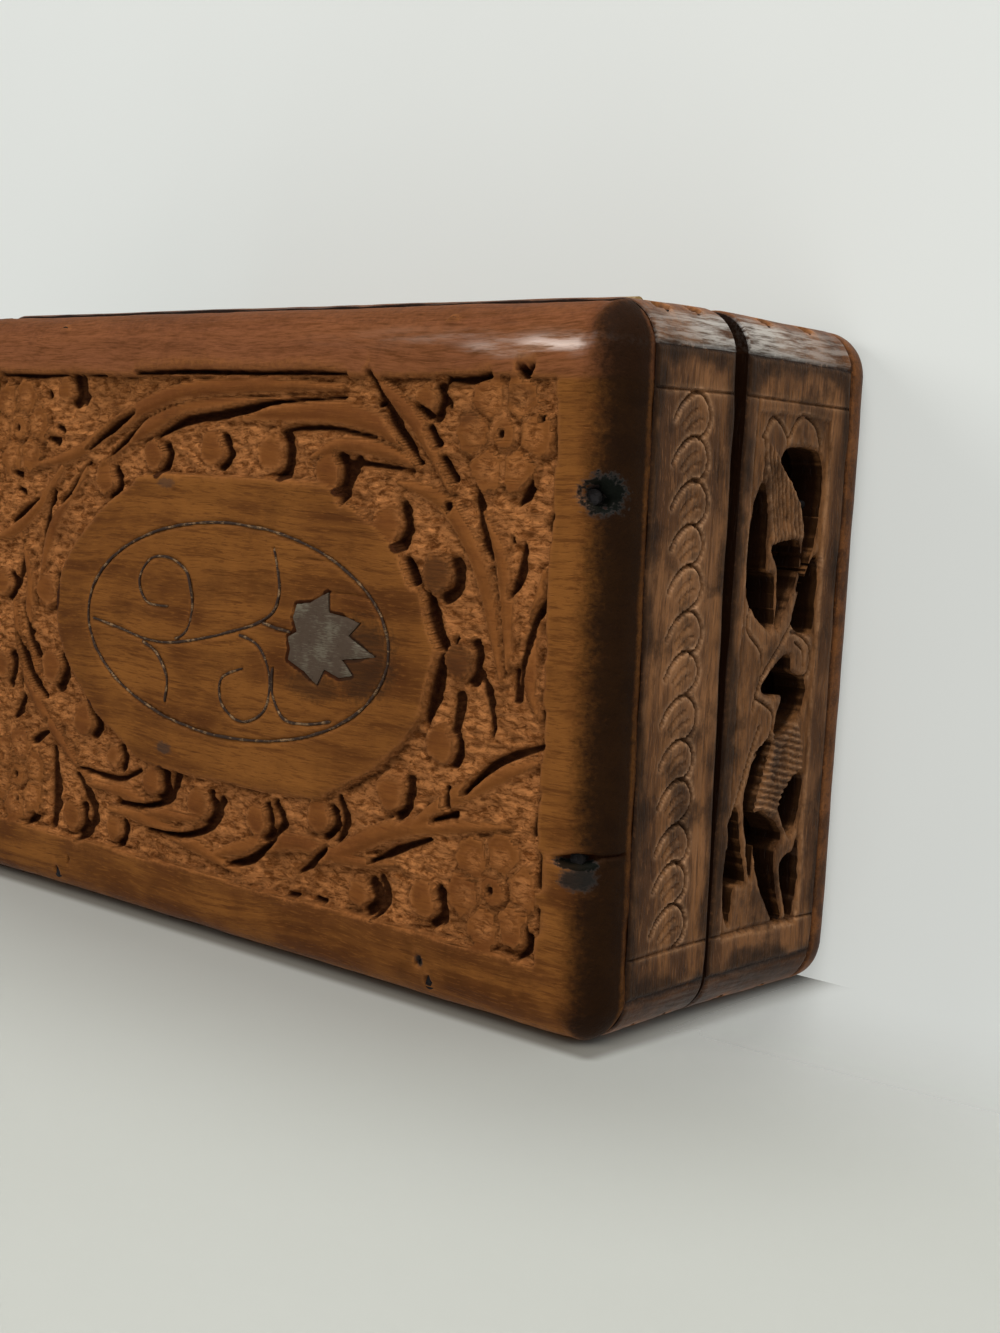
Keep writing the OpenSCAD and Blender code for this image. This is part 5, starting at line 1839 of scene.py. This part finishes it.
@dataclass
class FrameBoards:
    """The long boards and the end boards of one half of the box."""

    half: Half
    sizes: BoxSizes = SIZES
    pattern: PiercedPattern = PiercedPattern()
    front_pitch: float = 0.4
    back_pitch: float = 0.8
    end_pitch: float = 0.34
    nail_levels: Pair = (0.3, 0.7)
    ground_shows: Pair = (-0.75, -1.3)
    field_u: Pair = (-39.5, 37.0)
    field_depth: Pair = (2.6, 23.0)
    stroke_ways: Run = ((1.6, 6.6), (6.2, 1.2))

    @property
    def is_lid(self) -> bool:
        """Whether these are the lid's boards."""
        return self.half is Half.LID

    @property
    def span(self) -> Pair:
        """Heights of the boards' lower and upper edges, in the half's own frame."""
        return (0.0, self.sizes.lid_frame) if self.is_lid else (self.sizes.bottom, self.sizes.rim)

    @property
    def lay(self) -> Array:
        """Matrix that places the boards."""
        return self.sizes.lay() if self.is_lid else LEVEL

    def _scallops(self, relief: Relief, span: float, seed: int) -> None:
        """Cuts the chain of scallops.

        Args:
            relief: The board's heights.
            span: Width between the border lines.
            seed: Seed of the chain's unevenness.
        """
        pattern = self.pattern
        steps = int((span - 2 * pattern.scallop_r) / pattern.scallop_pitch)
        rng = np.random.default_rng(seed)
        for k in range(steps + 1):
            at = (steps / 2 - k) * pattern.scallop_pitch + rng.uniform(-0.35, 0.35)
            size, shift = rng.uniform(0.93, 1.07), rng.uniform(-0.3, 0.3)

            def placed(run: Run) -> Run:
                """Turns and moves a run to this scallop's place."""
                return [(at + size * b, pattern.chain_rise + shift - size * a) for a, b in run]

            relief.groove(placed(pattern.scallop), 0.32, 0.62, 4)
            for hatch in pattern.hatches:
                relief.groove(placed(hatch), 0.26, 0.2, 3)

    def _lines(self, relief: Relief, half: float) -> None:
        """Cuts the border lines of a decorated face, and the dotted line along its rim.

        Args:
            relief: The board's heights.
            half: Half the distance between the border lines.
        """
        low, high = self.span
        height = high - low
        for x in (-half, half):
            relief.groove([(x, 0.4), (x + 0.1, height / 2), (x, height - 0.4)], 0.26, 0.3)
        rim = self.sizes.rim_line if self.is_lid else height - self.sizes.rim_line
        dots = 0.5 + 0.5 * relief.wave((0.7, 9.0), 51)
        inside = (np.abs(relief.u) < half) * (1 - ease(0.12, 0.34, np.abs(relief.v - rim)))
        relief.height -= 0.26 * dots * inside * (0.35 if self.is_lid else 1.0)

    def long_board(self, side: int, finish: WoodFinish) -> None:
        """Builds and dresses the front or the back board.

        Args:
            side: 1 for the back, -1 for the front.
            finish: Its wood.
        """
        sizes, (low, high) = self.sizes, self.span
        sheet = Sheet.long_side(sizes, low, high, side, self.front_pitch if side < 0 else self.back_pitch)
        relief = Relief(sheet)
        seed = 60 + side + 10 * self.is_lid
        relief.height += 0.09 * relief.wave((14, 6), seed) - 0.10
        if side < 0:
            span = sizes.length - 2 * sizes.line_inset
            self._lines(relief, span / 2)
            if self.is_lid:
                self._scallops(relief, span, 5)
        for k, sx in enumerate((-1, 1)):
            for level in self.nail_levels:
                relief.pit(sx * (sizes.half_l - sizes.nail_inset), level * (high - low), 1.3, 2.0, 40 + k)
        relief.wear_rim(0.3, 0.6, seed)
        relief.find_marks()
        core = sizes.half_l - sizes.corner
        bare = ease(core + 3.0, core + 6.0, np.abs(relief.u) + 0.5 * relief.wave((3, 3), 97))
        raised = relief.v / (high - low)
        polish = bare * (0.45 + 0.65 * ease(0.2, 0.8, 1 - raised if self.is_lid else raised))
        # Corners: polish with a painted highlight on the back boards, dark wood and painted shade on the
        # front boards
        polish_and_highlight, dark_and_shade, ruddy = (0.95, 0.0, 0.3) if side > 0 else (0.12, 0.62, 0.0)
        relief.marks |= {"polish_and_highlight": polish_and_highlight * polish, "dark_and_shade": dark_and_shade * bare, "ruddy": ruddy * (1 - bare)}
        name = f"{self.half.value}_{'front' if side < 0 else 'back'}"
        piece = make_piece(f"{name}_plank", solid_board(relief), self.lay, finish.build(), CREASE)
        fit_piece(piece, self.half.value, f"{name}_board")

    def end_board(self, side: int, finish: WoodFinish) -> None:
        """Builds and dresses the right or the left end board.

        Args:
            side: 1 for the right end, -1 for the left one.
            finish: Its wood.
        """
        sizes, (low, high) = self.sizes, self.span
        sheet = Sheet.end(sizes, low, high, side, self.end_pitch)
        relief = Relief(sheet)
        relief.height += 0.08 * relief.wave((12, 6), 80 + side) - 0.08
        wander = 1.6 * relief.wave((7, 5), 99) + 0.8 * relief.wave((2, 2), 98)
        # Darker towards the board's edges
        relief.marks["dark_and_shade"] = 0.75 * ease(4.2, 0.2, sheet.rim + wander)
        self._lines(relief, sizes.half_w - sizes.line_inset)
        if self.is_lid:
            self._scallops(relief, sizes.width - 2 * sizes.line_inset, 90 + side)
            relief.wear_rim(0.3, 0.6, 95 + side)
            relief.find_marks()
            shell = solid_board(relief)
        else:
            keep = self._holes(relief)
            relief.wear_rim(0.3, 0.6, 95 + side)
            relief.find_marks(self.ground_shows)
            shell = cut_board(relief, keep, 0.15, 0.3, hole_shade=2.6)
        name = f"{self.half.value}_{'right' if side > 0 else 'left'}_end"
        piece = make_piece(f"{name}_plank", shell, self.lay, finish.build(), CREASE)
        fit_piece(piece, self.half.value, name)

    def _holes(self, relief: Relief) -> Array:
        """Shapes the stems and leaves round the piercings.

        Args:
            relief: The board's heights.

        Returns:
            Distance inside the wood at each point.
        """
        depth = self.sizes.base_frame - relief.v
        keep = np.full(relief.u.shape, 9.0)
        for hole in self.pattern.holes:
            keep = np.minimum(keep, -inside_distance(relief.u, depth, smooth_run(hole, 4, closed=True)))
        keep = keep - 0.3 + 0.12 * relief.wave((1.3, 1.3), 71) + 0.08 * relief.wave((0.6, 0.6), 72)
        relief.height -= 0.25 * (1 - ease(0.0, 0.7, keep))
        field_edge = np.minimum.reduce([relief.u - self.field_u[0], self.field_u[1] - relief.u,
                                        depth - self.field_depth[0], self.field_depth[1] - depth])
        field_edge += 0.3 * relief.wave((2.5, 2.5), 73)
        relief.height -= (0.3 + 0.08 * relief.wave((1.5, 0.9), 74)) * ease(0.0, 0.6, field_edge)
        for leaf, (along, across) in zip(self.pattern.leaves, self.stroke_ways):
            inside = inside_distance(relief.u, depth, smooth_run(leaf, 4, closed=True))
            way = along * relief.u + across * depth
            strokes = 0.5 + 0.5 * np.sin(way + 1.5 * relief.wave((2.0, 2.0), 75))
            relief.height += (0.3 - 0.34 * strokes - 0.025 * inside ** 2) * ease(-0.2, 0.3, inside)
        for edge in self.pattern.edges:
            relief.groove([(b, self.sizes.base_frame - a) for b, a in edge], 0.3, 0.5)
        browned = 0.34 * ease(0.0, 0.6, field_edge)
        relief.marks["dark_and_shade"] = np.maximum(relief.marks["dark_and_shade"], browned)
        return keep

    def build(self, side_finish: WoodFinish, end_finish: WoodFinish) -> None:
        """Builds and dresses all four boards.

        Args:
            side_finish: Wood of the front and the back.
            end_finish: Wood of the ends.
        """
        for side in (-1, 1):
            self.long_board(side, side_finish)
            self.end_board(side, end_finish)


@dataclass
class Inlay:
    """The metal let into the medallion: the oval wire, the vine and the leaf."""

    sizes: BoxSizes = SIZES
    pattern: FieldPattern = FieldPattern()
    half_w: float = 0.21
    half_h: float = 0.2
    ring: int = 8
    plate_low: Pair = (13.5, -6.8)
    plate_high: Pair = (33.6, 8.4)
    plate_sink: float = 0.14
    plate_thickness: float = 0.45
    plate_pitch: float = 0.22

    def _wire(self, shell: Shell, run: Array, closed: bool, seed: int) -> None:
        """Adds one wire to a shell.

        Args:
            shell: The shell.
            run: Points along the wire.
            closed: Whether it is a ring.
            seed: Seed of its unevenness.
        """
        ahead = np.roll(run, -1, axis=0) - np.roll(run, 1, axis=0) if closed else np.gradient(run, axis=0)
        ahead /= np.linalg.norm(ahead, axis=1, keepdims=True)
        across = np.stack([-ahead[:, 1], ahead[:, 0]], -1)
        count, ring = len(run), self.ring
        length = np.arange(count) * 0.5
        sway = 0.05 * ripple(length, 0 * length, (1.7, 1.0), seed)
        thick = 1 + 0.22 * ripple(length, 0 * length, (1.1, 1.0), seed + 1)
        sink = -0.24 + 0.10 * ripple(length, 0 * length, (3.1, 1.0), seed + 2)
        if not closed:
            thick *= ease(-0.5, 1.0, np.minimum(np.arange(count), np.arange(count)[::-1]).astype(float))
        turns = np.arange(ring) * 2 * math.pi / ring
        points = np.empty((count, ring, 3))
        for k, turn in enumerate(turns):
            out = sway + self.half_w * thick * math.cos(turn)
            points[:, k, :2] = run + across * out[:, None]
            points[:, k, 2] = self.sizes.lid_depth + sink + self.half_h * thick * math.sin(turn)
        first = shell.add_points(points.reshape(-1, 3), {})
        spans = count if closed else count - 1
        for i in range(spans):
            for k in range(ring):
                a, b = first + i * ring + k, first + i * ring + (k + 1) % ring
                c, d = first + ((i + 1) % count) * ring + (k + 1) % ring, first + ((i + 1) % count) * ring + k
                low, high, left, right = k / ring, (k + 1) / ring, i / spans, (i + 1) / spans
                shell.add_face([a, b, c, d], [(left, low), (left, high), (right, high), (right, low)])
        if not closed:
            for start, way in ((first, -1), (first + (count - 1) * ring, 1)):
                cap = [start + k for k in range(ring)][::way]
                shell.add_face(cap, [(0.0, 0.0)] * ring)

    def build(self, wire: MetalFinish, plate: MetalFinish) -> None:
        """Builds and dresses the three pieces.

        Args:
            wire: The wires' metal.
            plate: The leaf's metal.
        """
        lay, metal = self.sizes.lay(), wire.build()
        oval, vine = Shell(), Shell()
        self._wire(oval, smooth_run(self.pattern.oval_run(), 14, closed=True), True, 201)
        for k, run in enumerate(self.pattern.vines):
            self._wire(vine, smooth_run(run, 10), False, 210 + 3 * k)
        fit_piece(make_piece("oval_wire", oval, lay, metal, WIRE_CREASE), "lid", "inlay_oval")
        fit_piece(make_piece("vine_wire", vine, lay, metal, WIRE_CREASE), "lid", "inlay_vine")
        sheet = Sheet.plate(self.plate_low, self.plate_high, self.sizes.lid_depth - self.plate_sink,
                            self.plate_thickness, self.plate_pitch)
        relief = Relief(sheet)
        relief.height += 0.03 * relief.wave((3, 3), 231) + 0.012 * relief.wave((0.8, 0.8), 232)
        keep = inside_distance(sheet.u, sheet.v, np.array(self.pattern.leaf))
        shell = cut_board(relief, keep + 0.06 * relief.wave((0.9, 0.9), 233), 0.12, 0.45)
        piece = make_piece("metal_leaf", shell, lay, plate.build(), LEAF_CREASE)
        fit_piece(piece, "lid", "inlay_leaf")


@dataclass
class Hardware:
    """The hinges and nails, whose CAD shapes stay and get their metals here."""

    brass: MetalFinish
    iron: MetalFinish

    def build(self) -> None:
        """Dresses every hinge piece and nail."""
        brass, iron = self.brass.build(), self.iron.build()
        for name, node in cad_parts.items():
            if "hinge" in name or "nails" in name:
                node.data.materials.clear()
                node.data.materials.append(brass if "hinge" in name else iron)
                LOG.info("%s: keeps its CAD shape", name)


# --- Studio ---


@dataclass(frozen=True)
class Lamp:
    """A soft square lamp."""

    name: str
    place: Triple
    aim: Triple
    size: float
    watts: float

    def build(self) -> None:
        """Adds the lamp."""
        light = bpy.data.lights.new(self.name, "AREA")
        light.shape, light.size, light.energy = "SQUARE", self.size, self.watts
        lamp = bpy.data.objects.new(self.name, light)
        bpy.context.scene.collection.objects.link(lamp)
        lamp.location = self.place
        lamp.rotation_euler = (Vector(self.aim) - Vector(self.place)).to_track_quat("-Z", "Y").to_euler()


@dataclass(frozen=True)
class Studio:
    """Floor, table, lamps, surroundings and camera.

    The photograph shows the box standing on its front boards, so the table lies against them. It shows
    only from above, and casts and reflects nothing, so every other side shows the box on its own floor.
    """

    camera_place: Triple = (0.22179, 0.02293, 0.25140)
    camera_right: Triple = (0.748684, 0.058315, -0.660357)
    camera_look: Triple = (-0.654569, -0.092654, -0.750303)
    lens: float = 49.93
    lamps: tuple[Lamp, ...] = (
        Lamp("overhead", (0.36, 0.92, 0.42), (0.0, 0.0, 0.02), 0.8, 13.0),
        Lamp("front_fill", (0.55, -0.35, 0.65), (0.0, 0.0, 0.03), 0.7, 2.3),
        Lamp("side_key", (-0.40, 0.30, 0.74), (0.0, 0.0, 0.03), 0.3, 2.2),
        Lamp("low_front", (-0.10, -0.90, 0.09), (0.0, 0.0, 0.03), 0.5, 2.6),
    )

    def _plane(self, name: str, corners: list[Triple]) -> tuple[bpy.types.Object, Graph]:
        """Adds a plain plane with an empty finish.

        Args:
            name: Its name.
            corners: Its four corners.

        Returns:
            The plane and its finish's graph.
        """
        mesh = bpy.data.meshes.new(name)
        mesh.from_pydata(corners, [], [(0, 1, 2, 3)])
        plane = bpy.data.objects.new(name, mesh)
        bpy.context.scene.collection.objects.link(plane)
        material, graph = new_graph(name + "_matte")
        mesh.materials.append(material)
        return plane, graph

    @staticmethod
    def _matte(graph: Graph, low: Tint, high: Tint, shade: Any) -> Socket:
        """Adds a matte shader between two plain colours.

        Args:
            graph: The finish's graph.
            low: The darker colour.
            high: The paler colour.
            shade: How much painted shadow darkens the place, from 0 to 1.

        Returns:
            The shader.
        """
        mottle = graph.noise(graph.place(), 0.02, 3.0)
        colour = graph.blend(mottle, low, high)
        # The painted shadow's colour
        colour = graph.blend(shade, colour, (96, 92, 84))
        return graph.node("ShaderNodeBsdfPrincipled", {}, {"Base Color": colour, "Roughness": 0.9,
                                                           "Specular IOR Level": 0.1})

    def _floor(self) -> None:
        """Adds the box's floor, which the camera sees a little paler than its light makes it."""
        _, graph = self._plane("floor", [(-3, -3, 0), (3, -3, 0), (3, 3, 0), (-3, 3, 0)])
        matte = self._matte(graph, (222, 224, 219), (227, 229, 224), 0.0)
        pale = graph.node("ShaderNodeEmission", {}, {"Color": paint(214, 217, 212), "Strength": 1.0})
        share = graph.node("ShaderNodeLightPath", {}, {}, "Is Camera Ray") * 0.4
        surface = graph.node("ShaderNodeMixShader", {}, {0: share, 1: matte, 2: pale})
        graph.node("ShaderNodeOutputMaterial", {}, {"Surface": surface})

    def _table(self) -> None:
        """Adds the table against the box's front boards. It fades into the floor beside the box."""
        front = -SIZES.half_w * MM
        corners = [(-3, front, 3), (3, front, 3), (3, front, -0.001), (-3, front, -0.001)]
        table, graph = self._plane("table", corners)
        table.visible_diffuse = table.visible_glossy = table.visible_shadow = False
        table.visible_transmission = table.visible_volume_scatter = False
        place = graph.place()
        across, up = (graph.node("ShaderNodeSeparateXYZ", {}, {0: place}, axis) for axis in ("X", "Z"))
        beside = (across.math("ABSOLUTE") - SIZES.half_l).math("MAXIMUM", 0.0)
        above = (up - SIZES.rim - SIZES.lid_depth).math("MAXIMUM", 0.0)
        away = (beside * beside + above * above) ** 0.5
        # Painted shadow: a dark contact line along the box and a soft shadow reaching about 70 mm out
        shade = away.rise(3.0, 0.0) * 0.6 + away.rise(70.0, 0.0) * 0.36
        surface = self._matte(graph, (169, 170, 163), (173, 174, 168), shade)
        back = graph.node("ShaderNodeNewGeometry", {}, {}, "Backfacing")
        fade = up.rise(80.0, 0.0) * across.rise(68.0, 80.0)
        clear = graph.node("ShaderNodeBsdfTransparent", {}, {})
        surface = graph.node("ShaderNodeMixShader", {}, {0: back.math("MAXIMUM", fade), 1: surface, 2: clear})
        graph.node("ShaderNodeOutputMaterial", {}, {"Surface": surface})

    def _surroundings(self) -> None:
        """Sets the soft light from all round and the paler look of the background and of reflections."""
        world = bpy.data.worlds.new("studio")
        bpy.context.scene.world = world
        world.use_nodes = True
        graph = Graph(world.node_tree)
        camera = graph.node("ShaderNodeLightPath", {}, {}, "Is Camera Ray")
        glossy = graph.node("ShaderNodeLightPath", {}, {}, "Is Glossy Ray")
        plain = graph.node("ShaderNodeBackground", {}, {"Color": (0.95, 0.97, 1.0, 1.0), "Strength": 0.22})
        pale = graph.node("ShaderNodeBackground", {}, {"Color": paint(214, 213, 209), "Strength": 1.0})
        both = graph.node("ShaderNodeMixShader", {}, {0: camera.math("MAXIMUM", glossy), 1: plain, 2: pale})
        graph.node("ShaderNodeOutputWorld", {}, {"Surface": both})

    def _camera(self) -> None:
        """Sets the camera as the photograph's was: rolled so that the box's back is up."""
        camera = bpy.data.cameras.new("camera")
        camera.sensor_width, camera.lens = 36.0, self.lens
        camera.clip_start = 0.01
        eye = bpy.data.objects.new("camera", camera)
        bpy.context.scene.collection.objects.link(eye)
        back = -Vector(self.camera_look).normalized()
        right = Vector(self.camera_right)
        right = (right - right.dot(back) * back).normalized()
        turn = Matrix((right, back.cross(right), back)).transposed().to_4x4()
        turn.translation = self.camera_place
        eye.matrix_world = turn
        bpy.context.scene.camera = eye

    def build(self) -> None:
        """Builds the studio."""
        self._floor()
        self._table()
        self._surroundings()
        for lamp in self.lamps:
            lamp.build()
        self._camera()
        bpy.context.scene.view_settings.view_transform = "Standard"


# --- Main ---


PANEL_INK = ((73.4, 24.4, 0.6, (4.2, 3.1, 4.0)), (71.8, -24.6, 0.4, (4.2, 1.0, 3.0)),
             (71.8, -26.6, 0.5, (3.2, 1.9, 3.0), 0.6), (-15.0, -20.5, 0.0, (2.2, 1.1, 3.0), 0.4),
             (-15.5, 22.5, 0.0, (2.6, 1.1, 3.0), 0.35), (43.6, -43.7, 0.3, (1.0, 0.9, 2.0), 0.7))
PANEL_SOOT = ((30.5, -1.5, 0.0, (7.5, 7.0, 3.0), 0.75), (20.0, -6.5, 0.0, (6.5, 2.5, 3.0), 0.6),
              (49.0, 0.3, 0.6, (3.2, 3.0, 3.0), 0.6), (44.0, 12.0, 0.6, (3.4, 3.2, 3.0), 0.65),
              (58.0, 37.0, 0.6, (3.4, 1.8, 3.0), 0.4), (49.0, 34.2, 0.6, (2.6, 1.2, 3.0), 0.35))
PANEL_WOOD = WoodFinish(
    "panel_wood", GrainWay.ALONG_X, (110, 67, 28), (80, 45, 18), (130, 82, 36),
    end_grain_and_highlight=(176, 142, 118), recess=(38, 14, 4), worn_and_highlight=(140, 88, 46), dark_and_shade=(22, 11, 4),
    rings_squeeze=(0.12, 1.0, 1.0), roughness=0.66, shine=0.03, pore=0.5, grain_depth=0.18,
    ink=tuple(Spot.on_lid(*spot) for spot in PANEL_INK),
    soot=tuple(Spot.on_lid(*spot) for spot in PANEL_SOOT))
SIDE_WOOD = WoodFinish("side_wood", GrainWay.ALONG_X, (96, 57, 27), (60, 34, 16), (116, 73, 40),
                       roughness=0.45, shine=0.06, grime=0.45, rim_shade=True)
END_WOOD = WoodFinish("end_wood", GrainWay.ALONG_Y, (110, 72, 40), (68, 42, 22), (134, 92, 58),
                      roughness=0.45, shine=0.06, chip=(134, 86, 48), hollow_shade=(84, 50, 25),
                      worn_and_highlight=(190, 146, 108), grime=0.6, grain_depth=0.2, rim_shade=True)
BOTTOM_WOOD = replace(SIDE_WOOD, name="bottom_wood", rim_shade=False)
WIRE = MetalFinish("wire_metal", (124, 96, 64), (40, 24, 12), (22, 12, 6), shine=0.32, roughness=0.5,
                   clean_share=0.15, scale=2.0, spots=0.8, specular=0.2)
LEAF_METAL = MetalFinish("leaf_metal", (94, 86, 70), (66, 52, 39), (34, 25, 16), shine=0.15, roughness=0.5,
                         clean_share=0.3, scale=0.35, spots=0.3, specular=0.2)
BRASS = MetalFinish("hinge_brass", (158, 128, 78), (118, 92, 54), (62, 46, 30), shine=0.85, roughness=0.4,
                    clean_share=0.5)
IRON = MetalFinish("nail_iron", (30, 28, 28), (18, 16, 15), (44, 27, 17), shine=0.12, roughness=0.7,
                   scale=2.0, specular=0.1)


def main() -> None:
    """Builds the box's looks and the studio round it."""
    logging.basicConfig(level=logging.INFO, format="%(name)s %(message)s")
    LidPanel().build(PANEL_WOOD)
    FrameBoards(Half.LID).build(SIDE_WOOD, END_WOOD)
    FrameBoards(Half.BASE).build(SIDE_WOOD, END_WOOD)
    BottomBoard().build(BOTTOM_WOOD)
    Inlay().build(WIRE, LEAF_METAL)
    Hardware(BRASS, IRON).build()
    Studio().build()


if __name__ == "__main__":
    main()
